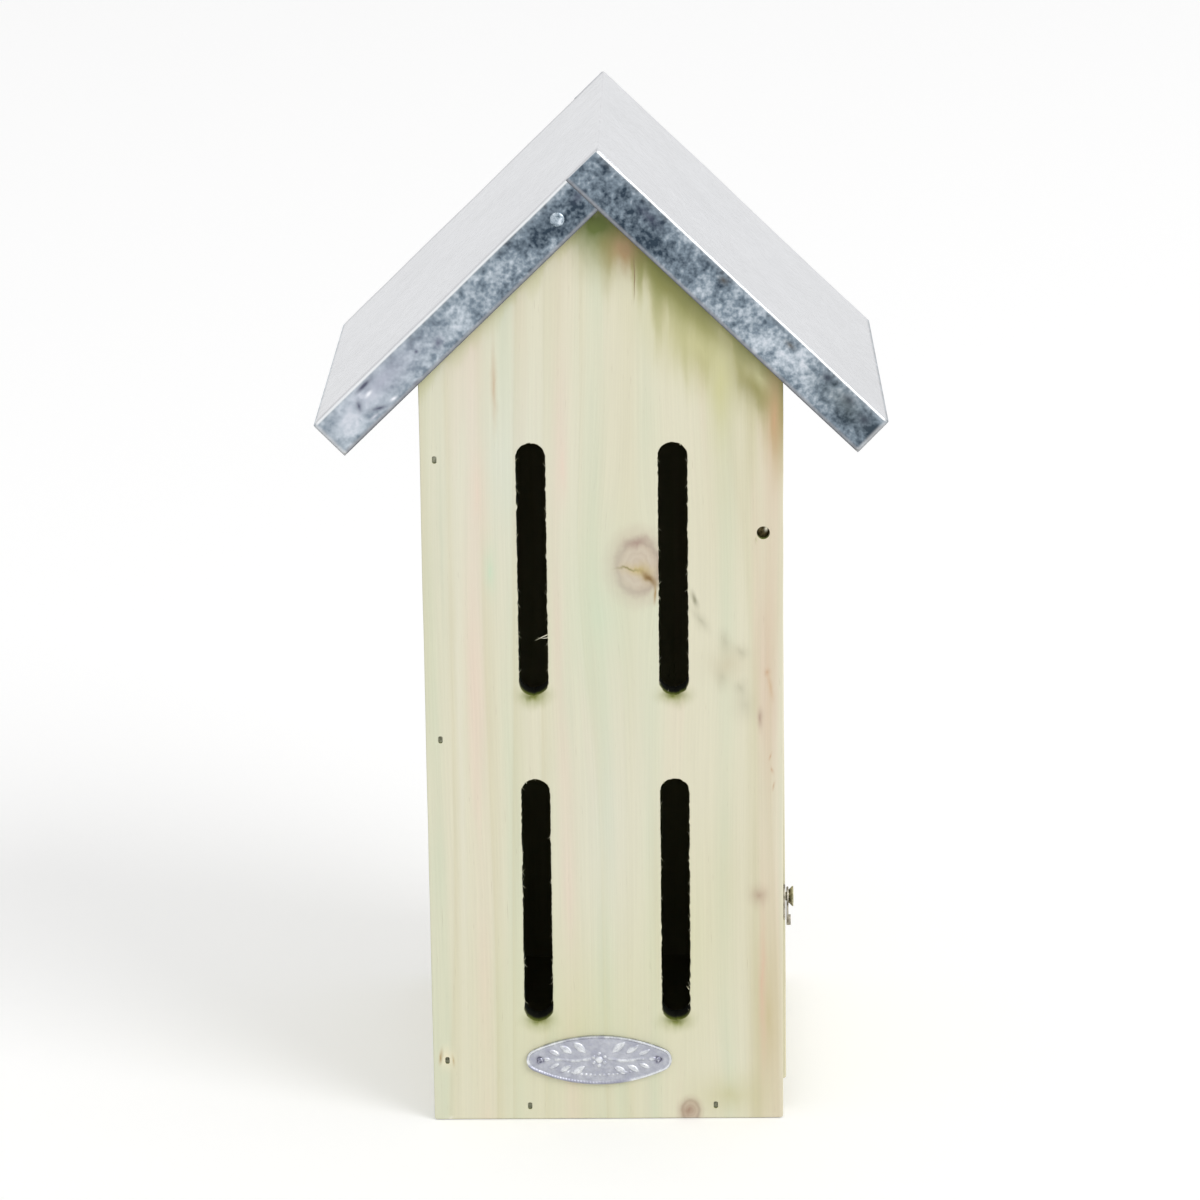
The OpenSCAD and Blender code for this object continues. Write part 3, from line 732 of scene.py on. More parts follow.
def board(node, finish, body, wood, slots=(), pockets=()):
    """Stands for a board: its outline swept through its thickness with eased edges. Slots are loops that go
    through. Pockets are loops with a depth, cut from the outer face. Both faces are filled between them."""
    low, high = node_box(node)
    outward = 1 if high[1] > 0 and low[1] > 0 else -1
    outer = high[1] if outward > 0 else low[1]
    thick = high[1] - low[1]
    outline = rounded_loop(outline_of(node), wood.corner, EDGE_STEP)
    rng = np.random.default_rng(len(node))
    planed = PLANED * abs(1 + wander(rng, len(outline), PLANED_SPAN))
    outline = outline + into_wood(outline) * planed[:, None]
    walls = [eased_rings(outline, wood.arris, thick, True)]
    walls += [eased_rings(loop, wood.arris * SLOT_EASE, thick, True) for loop in slots]
    walls += [eased_rings(loop, POCKET_EASE, depth, False) for loop, depth in pockets]
    points, quads, fronts, backs, floors, into = [], [], [], [], [], []
    count = 0
    for i, rings in enumerate(walls):
        rows, columns = rings.shape[:2]
        points.append(rings.reshape(-1, 3))
        into.append(rings[..., 1].ravel() / thick * (i > 0))
        quads.append(grid_faces(rows, columns, True) + count)
        fronts.append(count + np.arange(columns))
        last = count + (rows - 1) * columns + np.arange(columns)
        (backs if i <= len(slots) else floors).append(last)
        count += rows * columns
    points = np.concatenate(points)
    triangles = [cap(points, fronts, 1), cap(points, backs, -1), *(cap(points, [ring], 1) for ring in floors)]
    points[:, 1] = outer - outward * points[:, 1]
    made = add_piece(
        node + "_wood",
        points,
        np.concatenate(quads),
        np.concatenate(triangles),
        finish=finish,
        slot="treated_pine",
        body=body,
        replaces=[node],
        flat_ends=True,
    )
    point_values(made, "into", np.concatenate(into))
    face_weighted(made)


def head_depth(low, high):
    """How deep a pocket is that shows the head of a nail with that box, from the boards' outer faces."""
    return node_box("back_panel")[1][1] - max(abs(low[1]), abs(high[1])) + UNDER_HEAD


def pockets(end):
    """The openings over the sunk heads in the front or the back board, each as a loop and a depth: slits over
    the brads, and a round counterbore over the door pin."""
    found = []
    for low, high in [*solid_boxes("side_brads_" + end, 2), *solid_boxes("floor_brads_" + end, 0)]:
        width, height = (high - low)[[0, 2]] + SLIT_PLAY
        # The step is longer than a side, because points in one line would leave faces without an area
        loop = box_loop((low + high) / 2, width, height, width * SLIT_CORNER, width + height)
        found.append((loop, head_depth(low, high)))
    low, high = node_box("door_pin_" + end)
    width = high[0] - low[0] + HOLE_PLAY
    loop = box_loop((low + high) / 2, width, width, width * ROUND_END, HOLE_STEP)
    return [*found, (loop, head_depth(low, high))]


# First seed of the slots' torn edges, the points that their fine and coarse wander span, how much the coarse
# one counts, and below which depth a tear is left out
TEAR_SEED, FINE_TEAR, COARSE_TEAR, COARSE_SHARE, DEEPEST_TEAR = 40, 3, 14, 0.6, -1.2


def front_slots(wood):
    """The loops of the four routed slots, their edges moved a little by torn grain."""
    loops = []
    for name in SLOTS:
        wide, long = wood.slot_width, wood.slot_length
        loop = box_loop(OPENINGS[name].mean(0), wide, long, wide * ROUND_END, SLOT_STEP)
        rng = np.random.default_rng(len(loops) + TEAR_SEED)
        torn = wander(rng, len(loop), FINE_TEAR) + COARSE_SHARE * wander(rng, len(loop), COARSE_TEAR)
        loops.append(loop - into_wood(loop) * (wood.slot_rough * torn * (torn > DEEPEST_TEAR))[:, None])
    return loops


# Middle, height and radius of the knots in the front board, in mm
FRONT_KNOTS = [(10.8, 180.9, 8.6), (25.9, 2.6, 3.6)]


def front_bands(wood):
    """The upright bands of the front board from left to right: where each stands in mm, and its stain."""
    tints = {"g": wood.green, "c": wood.cream, "r": wood.rose, "l": wood.latewood}
    laid = [(-55, "g"), (-51, "g"), (-47, "c"), (-42, "c"), (-38, "r"), (-33, "c"), (-28, "g"), (-22, "c")]
    laid += [(-16, "c"), (-12, "r"), (-7, "c"), (0, "g"), (5, "c"), (10, "c"), (15, "g"), (20, "c")]
    laid += [(27, "c"), (32, "c"), (37, "g"), (42, "c"), (46, "l"), (49, "r"), (52, "r"), (55, "c")]
    return [(x, tints[tint]) for x, tint in laid]


# The marks that make the front board its own, in the form of paint_marks, with sRGB hex or a stain's name
FRONT_MARKS = [
    # Broad tints and long bands
    (-30, 215, 46, 92, 0, "#e2e8e0", 0.22),
    (-49, 190, 3, 110, 0, "#cbd2ba", 0.26),
    (-44.4, 130, 2.8, 210, 0, "#ece9d8", 0.3),
    (0, 98, 26, 100, 0, "#dfe5dc", 0.16),
    (37, 205, 17, 60, 0, "#d3cdaa", 0.24),
    (38, 78, 17, 70, 0, "#d8cfae", 0.24),
    (-10, 30, 62, 60, 0, "#d7d8ab", 0.34),
    (24, 60, 26, 60, 0, "#d7d8ab", 0.3),
    # Streaks on the left and in the middle
    (-37.5, 204, 5.5, 32, 0, "rose", 0.55),
    (-11.9, 213, 3, 22, 0, "rose", 0.6),
    (-34, 180, 3.4, 15, 0, "#cfe0c4", 0.55),
    (-32, 238, 1.5, 22, 0, "#cdb394", 0.5),
    (-1, 165, 24, 62, 0, "#cfe0c4", 0.35),
    # Green stain and painted shadow of the flange under the right eave
    (30, 249, 20, 42, -45, "#d2cf9e", 0.6),
    (20, 268, 5, 26, -45, "#9b9a58", 0.42),
    (34, 253, 7, 24, -45, "#a3a25c", 0.4),
    (31, 245, 14, 34, -45, "#a9a364", 0.14),
    (45, 237, 13, 24, -45, "#8f8a55", 0.24),
    (48, 238, 9, 14, -45, "#8d8648", 1.0),
    # Bare wood and rust round the lowest brad
    (-50.6, 20.6, 3.8, 7, 0, "#f0e8ca", 0.9),
    (-52.6, 21, 1, 4.6, 6, "#b49a6c", 0.7),
    (-48.7, 20, 0.8, 3.4, -6, "#c4ae7c", 0.55),
    # Brown ticks near the right edge
    (50.9, 119.6, 0.8, 2, 20, "#c79f78", 0.55),
    (51.6, 115.4, 0.7, 2.2, -15, "#c79f78", 0.5),
    (52.1, 110.6, 0.8, 2.4, 12, "#c79f78", 0.45),
    # Stains under the right eave and the ridge, and green painted shade at the apex under the ridge
    (36, 238, 7, 36, 0, "#d2cf9e", 0.7),
    (48, 240, 7, 18, -40, "#d2cf9e", 0.6),
    (2, 281, 19, 20, 0, "#99975f", 0.6),
    (-0.5, 286.5, 15, 13, 0, "#69763a", 0.9),
    (7.4, 279.5, 9, 11, 0, "#b2976f", 0.85),
    (10.4, 270.5, 0.4, 11, 0, "bark", 0.8),
    (52.4, 226, 5.4, 32, 0, "#cba981", 0.65),
    # Warm bands on the right
    (50.4, 150, 5.5, 120, 0, "#cdb394", 0.27),
    (50.5, 34, 9, 70, 0, "#cbbd90", 0.5),
    (48.6, 46, 2.2, 52, 0, "#dfbfa4", 0.5),
    # Smudges and brown flecks between the large knot and the right edge
    (27.9, 170.2, 1.6, 4.4, -18, "smoke", 0.85),
    (29.8, 163.8, 3, 8, -35, "smoke", 0.32),
    (37.4, 156.4, 8, 3.4, 80, "smoke", 0.26),
    (42.2, 153.8, 4, 4.4, -20, "smoke", 0.32),
    (36.2, 145.8, 8, 4, 80, "smoke", 0.26),
    (41.8, 142.2, 3.4, 5, 0, "smoke", 0.28),
    (38, 150, 13, 12, 0, "#d3c9ac", 0.45),
    (43, 137, 7, 10, 0, "smoke", 0.2),
    (50.2, 146.8, 2, 3, 10, "#c9a27c", 0.45),
    (51, 142.4, 1.4, 7, -8, "#cfae88", 0.4),
    (48, 131.6, 1.7, 6, 0, "#b09684", 0.55),
    (47.5, 74.5, 5.4, 6.4, 0, "#b59c86", 0.5),
    # The lower corners
    (38, 8, 22, 13, 0, "#cbc697", 0.42),
    (-50.1, 0.8, 2.4, 1.2, 0, "#f2efdf", 0.8),
    # The large knot and the cracks in it
    (8.5, 180, 14, 17, 0, "#d3c0b0", 0.28),
    (10.6, 189, 8, 3, -8, "#ab9084", 0.5),
    (11, 180.2, 8, 3.8, 6, "#cdbb86", 0.8),
    (13.9, 177.8, 3, 6.6, -41, "#b0986a", 0.8),
    (7.8, 180.6, 6.4, 0.9, 9, "#9a9064", 0.8),
    (14.2, 177.3, 1.5, 5, -41, "#8c7048", 0.95),
    (15.9, 172.6, 0.7, 5.6, 0, "#b09468", 0.8),
    # The small knot
    (25.4, 2.8, 5.4, 6, 0, "#a88c78", 0.6),
]
# Drips under the eaves, in the form of paint_drips: green stain under the right eave, whose darker short streaks
# along the flange are painted shadow too, and a pale stain under the left
FRONT_DRIPS = [
    ((291.5, 0.966, 2), (9, 40), "#b0aa6a", 0.85),
    ((291.5, 0.966, 2), (2.5, 30), "#7e8440", 0.9),
    ((291.5, -0.966, -90), (2, 10), "#cbc995", 0.6),
]


def front_marks(wood):
    """The front board's marks with their stains filled in, and two green marks at the foot of each slot, stain and
    painted shade.
    """
    marks = [(*mark[:5], getattr(wood, mark[5], mark[5]), mark[6]) for mark in FRONT_MARKS]
    for name in SLOTS:
        x, _, z = OPENINGS[name].mean(0) / MM
        foot = z - wood.slot_length / 2 / MM
        # Green stain and painted shade below each slot's lower end
        marks.append((x, foot, 8.5, 5.2, 0, "#8f9648", 0.7))
        marks.append((x, foot + 0.4, 5.4, 2.2, 0, "#5d6428", 0.7))
    return marks


class Piece:
    """What all the operators share: each can be undone."""

    bl_options = {"REGISTER", "UNDO"}


class HOUSE_OT_front_board(Piece, bpy.types.Operator):
    """Builds the gabled front board with its four slots, its stains and the holes over brads and pin"""

    bl_idname = "butterfly_house.front_board"
    bl_label = "Front Board"

    def execute(self, context):
        wood = context.scene.butterfly_house.wood
        own = {"marks": front_marks(wood), "bands": front_bands(wood), "drips": FRONT_DRIPS}
        finish = treated_softwood("front", wood, knots=FRONT_KNOTS, **own)
        board("front_panel", finish, "house", wood, front_slots(wood), pockets("front"))
        return {"FINISHED"}


class HOUSE_OT_back_board(Piece, bpy.types.Operator):
    """Builds the gabled back board with the hole it hangs by and the holes over brads and pin"""

    bl_idname = "butterfly_house.back_board"
    bl_label = "Back Board"

    def execute(self, context):
        wood = context.scene.butterfly_house.wood
        finish = treated_softwood("back", wood, knots=[(-24, 96, 7), (19, 214, 5)])
        mount = next(m for m in frame["record"]["mounts"] if m["name"] == "hanging_hole")
        across = 2 * mount["dims"]["r_mm"] * MM
        hole = box_loop(mount["pos_m"], across, across, across * ROUND_END, SLOT_STEP)
        board("back_panel", finish, "house", wood, [hole], pockets("back"))
        return {"FINISHED"}


class HOUSE_OT_left_board(Piece, bpy.types.Operator):
    """Builds the fixed side board on the left"""

    bl_idname = "butterfly_house.left_board"
    bl_label = "Left Board"

    def execute(self, context):
        wood = context.scene.butterfly_house.wood
        finish = treated_softwood("left", wood, (0, 0, QUARTER), [(14, 92, 6.5), (-30, 178, 4)])
        board("left_side", finish, "house", wood)
        return {"FINISHED"}


class HOUSE_OT_door_board(Piece, bpy.types.Operator):
    """Builds the side board on the right, which swings out on its pins"""

    bl_idname = "butterfly_house.door_board"
    bl_label = "Door Board"

    def execute(self, context):
        wood = context.scene.butterfly_house.wood
        knots = [(-21, 148, 7.5), (33, 46, 3.5)]
        finish = treated_softwood("door", wood, (0, 0, QUARTER), knots, aside=DOOR_ASIDE)
        board("side_door", finish, "door", wood)
        return {"FINISHED"}


class HOUSE_OT_floor_board(Piece, bpy.types.Operator):
    """Builds the floor between the front and the back, whose grain runs from side to side"""

    bl_idname = "butterfly_house.floor_board"
    bl_label = "Floor Board"

    def execute(self, context):
        wood = context.scene.butterfly_house.wood
        board("floor_board", treated_softwood("floor", wood, (0, QUARTER, 0)), "house", wood)
        return {"FINISHED"}


# Sides and rings of each fibre, fibres along each slot's edge, and the seed of their draws
FIBRE_SIDES, FIBRE_RINGS, LOOP_FIBRES, FIBRE_SEED = 5, 7, 26, 7


def fibre_rings(roots, ways, bends, reach, thick):
    """Thin curved splinters: each leaves its root along a way, bends with the square of the distance and
    thins to a point. Gives the rings for capped_tubes."""
    ways = ways / np.linalg.norm(ways, axis=1, keepdims=True)
    along = np.linspace(0, 1, FIBRE_RINGS)[None, :, None]
    line = roots[:, None] + reach[:, None, None] * (ways[:, None] * along + bends[:, None] * along**2)
    side = np.cross(ways, [0.0, 1.0, 0.0])
    side /= np.linalg.norm(side, axis=1, keepdims=True)
    turn = np.arange(FIBRE_SIDES) * 2 * math.pi / FIBRE_SIDES
    thin = thick[:, None, None, None] * (1 - 0.93 * along[..., None] ** 1.4)
    across = side[:, None, None] * np.cos(turn)[:, None] + np.array([0, 1, 0]) * np.sin(turn)[:, None]
    return line[:, :, None] + thin * across


# Splinters given one by one: where each leaves the front in X and Z, its way, bend, length and radius in mm
SPLINTERS = [
    ((-16.9, 159.6), (-0.93, -0.15, -0.34), (0, 0.1, -0.1), 4.4, 0.17),
    ((-17.0, 158.6), (-0.88, -0.1, -0.2), (-0.1, 0.1, 0.25), 3.0, 0.13),
    ((23.9, 219.0), (-0.25, -0.1, 0.95), (0.3, 0, 0), 1.6, 0.13),
    ((25.6, 43.4), (-0.6, 0, 0.6), (0, 0, 0.3), 1.2, 0.15),
    ((-25.6, 110.2), (-0.35, -0.2, 0.9), (0.2, 0, 0), 1.1, 0.12),
    ((-24.2, 111.6), (-0.3, -0.2, 0.95), (-0.2, 0, 0), 1.3, 0.14),
    ((18.2, 111.4), (-0.5, -0.2, 0.8), (0.3, 0, 0), 1.2, 0.14),
    ((17.2, 109.4), (-0.6, -0.2, 0.6), (0, 0, 0.3), 0.9, 0.12),
    ((DOOR_PIN[0] / MM - 2.2, DOOR_PIN[2] / MM - 1.2), (-0.1, -0.25, -1), (0.25, 0, 0), 2.4, 0.16),
]


def torn_fibres(wood):
    """The rings of the torn fibres along the slots' edges and of the listed splinters."""
    face = node_box("front_panel")[0][1]
    rng = np.random.default_rng(FIBRE_SEED)
    laid = []
    for loop in front_slots(wood):
        pick = rng.integers(0, len(loop), LOOP_FIBRES)
        side = -into_wood(loop)[pick, 0]
        lean = rng.normal(0, 0.5, LOOP_FIBRES)
        up = np.sign(lean) * (0.8 + abs(lean))
        way = np.stack([side * 0.5, rng.normal(0, 0.1, LOOP_FIBRES), up], 1)
        deep = face + rng.uniform(0.3, 3.5, LOOP_FIBRES) * MM
        root = np.stack([loop[pick, 0], deep, loop[pick, 1]], 1)
        bend = side[:, None] * [0.35, 0, 0]
        long, thick = (rng.uniform(*span, LOOP_FIBRES) * MM for span in ((0.4, 1.5), (0.05, 0.1)))
        laid.append((root, way, bend, long, thick))
    for (x, z), way, bend, long, thick in SPLINTERS:
        root = (x * MM, face + 0.15 * MM, z * MM)
        laid.append(([root], [way], [bend], [long * MM], [thick * MM]))
    return fibre_rings(*(np.concatenate(part) for part in zip(*laid)))


class HOUSE_OT_slot_fibres(Piece, bpy.types.Operator):
    """Builds the torn fibres along the slots and the listed splinters"""

    bl_idname = "butterfly_house.slot_fibres"
    bl_label = "Slot Fibres"

    def execute(self, context):
        finish, add = new_finish("Torn spruce fibre")
        pale = at_scale(add, millimetres(add), 1.5)
        base = add("ValToRGB", pale, stops=[(0.35, "#c9c69c"), (0.65, "#efecd6")])
        add("OutputMaterial", add("BsdfPrincipled", Base_Color=base, Roughness=0.7))
        tubes = capped_tubes(torn_fibres(context.scene.butterfly_house.wood))
        add_piece("slot_fibres", *tubes, finish=finish, slot="treated_pine")
        return {"FINISHED"}


# Inner radius of the roof's fold at the ridge, and how far the flanges' lower edges lean inwards
SHARP_FOLD, FLANGE_LEAN = 0.02 * MM, 0.12 * MM
# Lengths in mm that the waves in the sheet are made of, and how much longer they are across the slope
WAVE_SPANS, WAVE_STRETCH = (41, 17, 9, 6), 1.7
# Seeds of the waves in the right and the left half, and the painted shade behind the folds of the left one
RIGHT_SEED, LEFT_SEED, LEFT_FOLD_SHADE = 11, 23, 0.5
# Points of the roof's section down a flange, round a fold and over the top, and from the ridge to the eave
FLANGE_POINTS, FOLD_POINTS, TOP_POINTS, SLOPE_POINTS = 9, 7, 56, 72


def channel_profile(half, sheet, dirt):
    """One half of the roof's section across its slope, outside and inside, as points in Y and height over
    the slope: flange, fold, top, fold, flange. The second value is the painted light of each point: above 0 a
    painted highlight along the fold, below 0 painted shade on the cut edge and, by the value of dirt, where the
    fold meets the top and in the line behind it."""
    flank = np.linspace(-sheet.flange, -sheet.fold, FLANGE_POINTS)[:-1]
    turn = np.linspace(math.pi, QUARTER, FOLD_POINTS)
    top = np.linspace(-half + sheet.fold, half - sheet.fold, TOP_POINTS)[1:-1]
    sides = []
    for radius, edge in ((sheet.fold, half), (sheet.fold - sheet.thickness, half - sheet.thickness)):
        centre = half - sheet.fold
        arc = np.stack([-centre + radius * np.cos(turn), -sheet.fold + radius * np.sin(turn)], 1)
        left = np.concatenate([np.stack([np.full(len(flank), -edge), flank], 1), arc])
        roof = np.stack([top, np.full(len(top), radius - sheet.fold)], 1)
        sides.append(np.concatenate([left, roof, left[::-1] * [-1, 1]]))
    # Painted light: a highlight along the fold's arc, painted shade on the flange's cut edge, and by the value of
    # dirt painted shade where the fold meets the top
    worn = np.exp(-(((np.arange(len(turn)) - 2.4) / 1.5) ** 2))
    worn[-1] = -dirt
    section_light = np.concatenate([[-0.9], np.zeros(len(flank) - 1), worn])
    line = np.zeros(len(top))
    line[[0, -1]] = -0.5 * dirt
    return sides, np.concatenate([section_light, line, section_light[::-1]])


def roof_half(half, side, sheet, seed, dirt):
    """One half of the folded sheet as a closed shell: its section carried from the ridge down the slope, with
    a slow wave in it. Near the ridge the top follows an arc, and the flanges run on under the other slope.
    Gives its points, its faces and the painted highlight and shade of each point."""
    high = node_box("roof_sheet")[1]
    apex, rise = roof_lines()
    pitch = math.atan(rise)
    (outer, inner), section_light = channel_profile(half, sheet, dirt)
    section = np.concatenate([outer, inner[::-1]])
    slope_l = high[0] / math.cos(pitch)
    near = np.linspace(0, sheet.thickness * math.tan(pitch), 5)
    down = np.concatenate([near, np.linspace(near[-1], slope_l, SLOPE_POINTS)[1:]])
    across, over = section.T
    # A flange's end lies on the plane of the other slope, a little past the ridge's own plane
    start = over / math.tan(2 * pitch)
    run = start[None] + (down / slope_l)[:, None] * (slope_l - start[None])
    x = run * math.cos(pitch) + over * math.sin(pitch)
    z = apex - run * math.sin(pitch) + over * math.cos(pitch)
    # The fold at the ridge, whose outside has the sheet's thickness as its radius and whose inside is sharp
    bend = np.clip(down / near[-1], 0, 1)[:, None] * pitch
    reach = np.maximum(sheet.thickness + over[None], SHARP_FOLD)
    ridge = (down <= near[-1])[:, None] & (over > -sheet.thickness - ON_PLANE)[None]
    centre = apex - sheet.thickness / math.cos(pitch)
    x = np.where(ridge, reach * np.sin(bend), x)
    z = np.where(ridge, centre + reach * np.cos(bend), z)
    rng = np.random.default_rng(seed)
    phase = rng.uniform(0, 2 * math.pi, 6)
    waves = sum(
        np.sin(run / MM / span + across / MM / (span * WAVE_STRETCH) + turn) / (i + 2)
        for i, (span, turn) in enumerate(zip(WAVE_SPANS, phase))
    )
    settle = smooth(2 * MM, 20 * MM, run) * smooth(slope_l, slope_l - 12 * MM, run) * sheet.wave * waves
    flank = np.clip(-over / sheet.flange, 0, 1)
    top = 1 - smooth(0, 0.3, flank)
    x = x + settle * top * math.sin(pitch)
    z = z + settle * top * math.cos(pitch)
    y = across - np.sign(across) * flank**1.5 * (FLANGE_LEAN + settle)
    points = np.stack([side * x, y, z], -1)
    rows, columns = points.shape[:2]
    strips = []
    pair = np.arange(len(outer))
    for row in (0, rows - 1):
        ring = row * columns
        facing = columns - 1 - pair
        quad = np.stack([ring + pair[:-1], ring + pair[1:], ring + facing[1:], ring + facing[:-1]], 1)
        strips.append(quad if row == 0 else quad[:, ::-1])
    faces = np.concatenate([grid_faces(rows, columns, True), *strips])
    if side < 0:
        faces = faces[:, ::-1]
    bright = np.broadcast_to(np.concatenate([section_light, 0 * section_light]), (rows, columns)).copy()
    # Painted light on the eave ends, which lifts their shade
    bright[-1] = 0.3
    return points.reshape(-1, 3), faces, bright


def roof_lines():
    """The height where the two outer slopes would cross, and the rise of a slope for each unit across."""
    high = node_box("roof_sheet")[1]
    eave = node_points("roof_sheet")
    eave = eave[eave[:, 0] > high[0] - ON_PLANE][:, 2].max()
    front, side = node_box("front_panel"), node_box("left_side")
    rise = (front[1][2] - side[1][2]) / abs(side[1][0])
    return eave + high[0] * rise, rise


# Where the front flange as a whole is darker or lighter, in the form of paint_marks: dark by the ridge and at
# the right end, frosty low on the left
ZINC_ZONES = [
    (-13, 287, 14, 36, 45, 0.27, 0.45),
    (-74, 229, 18, 42, 45, 0.76, 0.5),
    (13, 287, 14, 38, -45, 0.17, 0.48),
    (52, 251, 14, 34, -45, 0.66, 0.45),
    (82, 223, 12, 24, -45, 0.16, 0.5),
    (-44, 257, 12, 24, 45, 0.62, 0.3),
]


# Tints on the front flange: lavender low on the left, with dark streaks and glints painted round it as the
# reflections of a shallow dent that the sheet's shape doesn't have, plum by the ridge, and dark and brown
# blotches towards the right end
ZINC_MARKS = [
    (-66, 240, 10, 34, 45, "#babdcb", 0.5),
    (-6, 296, 3, 4, 45, "#585b6d", 0.4),
    (15, 290, 3, 9, -45, "#585b6d", 0.4),
    (-48.3, 252, 3, 4, 20, "#6d7183", 0.6),
    (-55, 249.3, 1.2, 1.2, 0, "#6d7183", 0.8),
    # Painted reflections of the dent: dark streaks, then a light streak and two painted glints
    (-71, 239, 1.3, 5.6, 45, "#53566a", 0.95),
    (-72.6, 232.6, 1.6, 3.6, -12, "#53566a", 0.6),
    (-66.4, 232, 5.2, 1.4, -14, "#53566a", 0.65),
    (-66.7, 227.2, 1.4, 6.6, 48, "#53566a", 0.9),
    (-55.1, 239.6, 1.3, 3, 52, "#53566a", 0.8),
    (-68, 229.4, 0.9, 3.2, 50, "#c6cad3", 0.8),
    (-69.6, 236.4, 1.1, 2.6, 42, "#eef0f6", 0.95),
    (-62.1, 234.9, 1.0, 2.3, 58, "#eef0f6", 0.9),
    (68, 240.5, 2.4, 3.4, -45, "#454c5b", 0.8),
    (74.5, 233.5, 3, 5, -45, "#454c5b", 0.75),
    (79, 227.5, 3.4, 4.4, -45, "#454c5b", 0.7),
    (73, 233, 9, 24, -45, "#666e6c", 0.32),
    (37, 270.5, 2, 3.4, -45, "#5b5854", 0.6),
    (57, 250.5, 1.8, 4, -45, "#5b5854", 0.6),
]


class HOUSE_OT_roof_sheet(Piece, bpy.types.Operator):
    """Builds the folded roof, whose right half laps over the left half's flanges"""

    bl_idname = "butterfly_house.roof_sheet"
    bl_label = "Roof Sheet"

    def execute(self, context):
        sheet = context.scene.butterfly_house.sheet
        half = node_box("roof_sheet")[1][1]
        right = roof_half(half, 1, sheet, RIGHT_SEED, 0.0)
        left = roof_half(half - sheet.thickness, -1, sheet, LEFT_SEED, LEFT_FOLD_SHADE)
        points, faces, bright = zip(right, left)
        made = add_piece(
            "roof_zinc",
            np.concatenate(points),
            np.concatenate([faces[0], faces[1] + len(points[0])]),
            finish=galvanised_zinc("Galvanised sheet", sheet, ZINC_ZONES, ZINC_MARKS),
            slot="galvanised_sheet",
            replaces=["roof_sheet"],
        )
        point_values(made, "burnish", np.concatenate([part.ravel() for part in bright]))
        return {"FINISHED"}


# Sides of a turned nail, and the seed of how its head's dent lies
NAIL_SIDES, DENT_SEED = 40, 3


def turned_rings(profile, middles, point, dents):
    """Solids of revolution about Y: each profile point is a radius and a distance behind the head's top. The
    head's top is dented by up to dents. The point says which way the nail points, 1 to the back."""
    radius, behind = np.array(profile, float).T
    turn = np.arange(NAIL_SIDES) * 2 * math.pi / NAIL_SIDES
    rng = np.random.default_rng(DENT_SEED)
    lean = rng.uniform(0, 2 * math.pi, (len(middles), 1, 1))
    sag = dents * np.cos(2 * turn + lean) * np.clip(radius / radius.max(), 0, 1)[:, None] ** 2
    sag = sag * (behind < behind[np.argmax(radius)] + ON_PLANE)[:, None]
    rings = np.empty((len(middles), len(radius), NAIL_SIDES, 3))
    rings[..., 0] = middles[:, 0, None, None] + radius[:, None] * np.cos(turn)
    rings[..., 1] = middles[:, 1, None, None] + point * (behind[:, None] + np.abs(sag))
    rings[..., 2] = middles[:, 2, None, None] + radius[:, None] * np.sin(turn)
    return rings


def nail_profile(head_r, head_t, shank_r, total, crown):
    """A nail from the top of its head to its tip: a domed or, with a low crown, a nearly flat head with a
    rounded edge, a straight shank and a point."""
    turn = np.linspace(0.02, QUARTER, 12)
    dome = [(head_r * math.sin(a), crown * (1 - math.cos(a))) for a in turn]
    edge = [(head_r, crown + (head_t - crown) * s) for s in (0.5, 0.9)] if head_t > crown * 1.01 else []
    tip = 2.4 * shank_r
    shank = [(head_r * 0.97, head_t), (shank_r, head_t + 0.02 * MM), (shank_r, total - tip)]
    return [*dome, *edge, *shank, (shank_r * 0.3, total)]


def nails(node, metal, slot, finish, head_t, shank_r, domed=0.999, dents=0.0):
    """Turned nails or pins in place of a CAD node, whose solids give their places, heads and lengths. Domed
    is the share of the head's height that its dome takes up."""
    boxes = solid_boxes(node, 0)
    low, high = boxes[0]
    point = 1 if low[1] < 0 else -1
    middles = np.array([(low + high) / 2 for low, high in boxes])
    middles[:, 1] = low[1] if point > 0 else high[1]
    profile = nail_profile((high[0] - low[0]) / 2, head_t, shank_r, high[1] - low[1], head_t * domed)
    tubes = capped_tubes(turned_rings(profile, middles, point, dents))
    add_piece(f"{node}_{metal}", *tubes, finish=finish, slot=slot, replaces=[node])


class HOUSE_OT_roof_nails(Piece, bpy.types.Operator):
    """Builds the domed nail through each of the roof's end flanges"""

    bl_idname = "butterfly_house.roof_nails"
    bl_label = "Roof Nails"

    def execute(self, context):
        hardware = context.scene.butterfly_house.hardware
        finish = worn_metal("Zinc-plated nail", "#5f6e79", hardware.zinc, "#dbe5ee", 0.24, 0.35)
        sizes = hardware.roof_head, hardware.roof_shank
        for node in ("roof_nail_front", "roof_nail_back"):
            nails(node, "zinc", "zinc_nail", finish, *sizes, dents=0.12 * MM)
        return {"FINISHED"}


class HOUSE_OT_plate_nails(Piece, bpy.types.Operator):
    """Builds the two small domed nails that hold the plate"""

    bl_idname = "butterfly_house.plate_nails"
    bl_label = "Plate Nails"

    def execute(self, context):
        hardware = context.scene.butterfly_house.hardware
        finish = worn_metal("Plate nail", "#5e5c6c", "#8e8fa0", "#e6e9f0", 0.3, 0.2)
        sizes = hardware.plate_head, hardware.plate_shank
        nails("plate_nails", "zinc", "zinc_nail", finish, *sizes, dents=0.04 * MM)
        return {"FINISHED"}


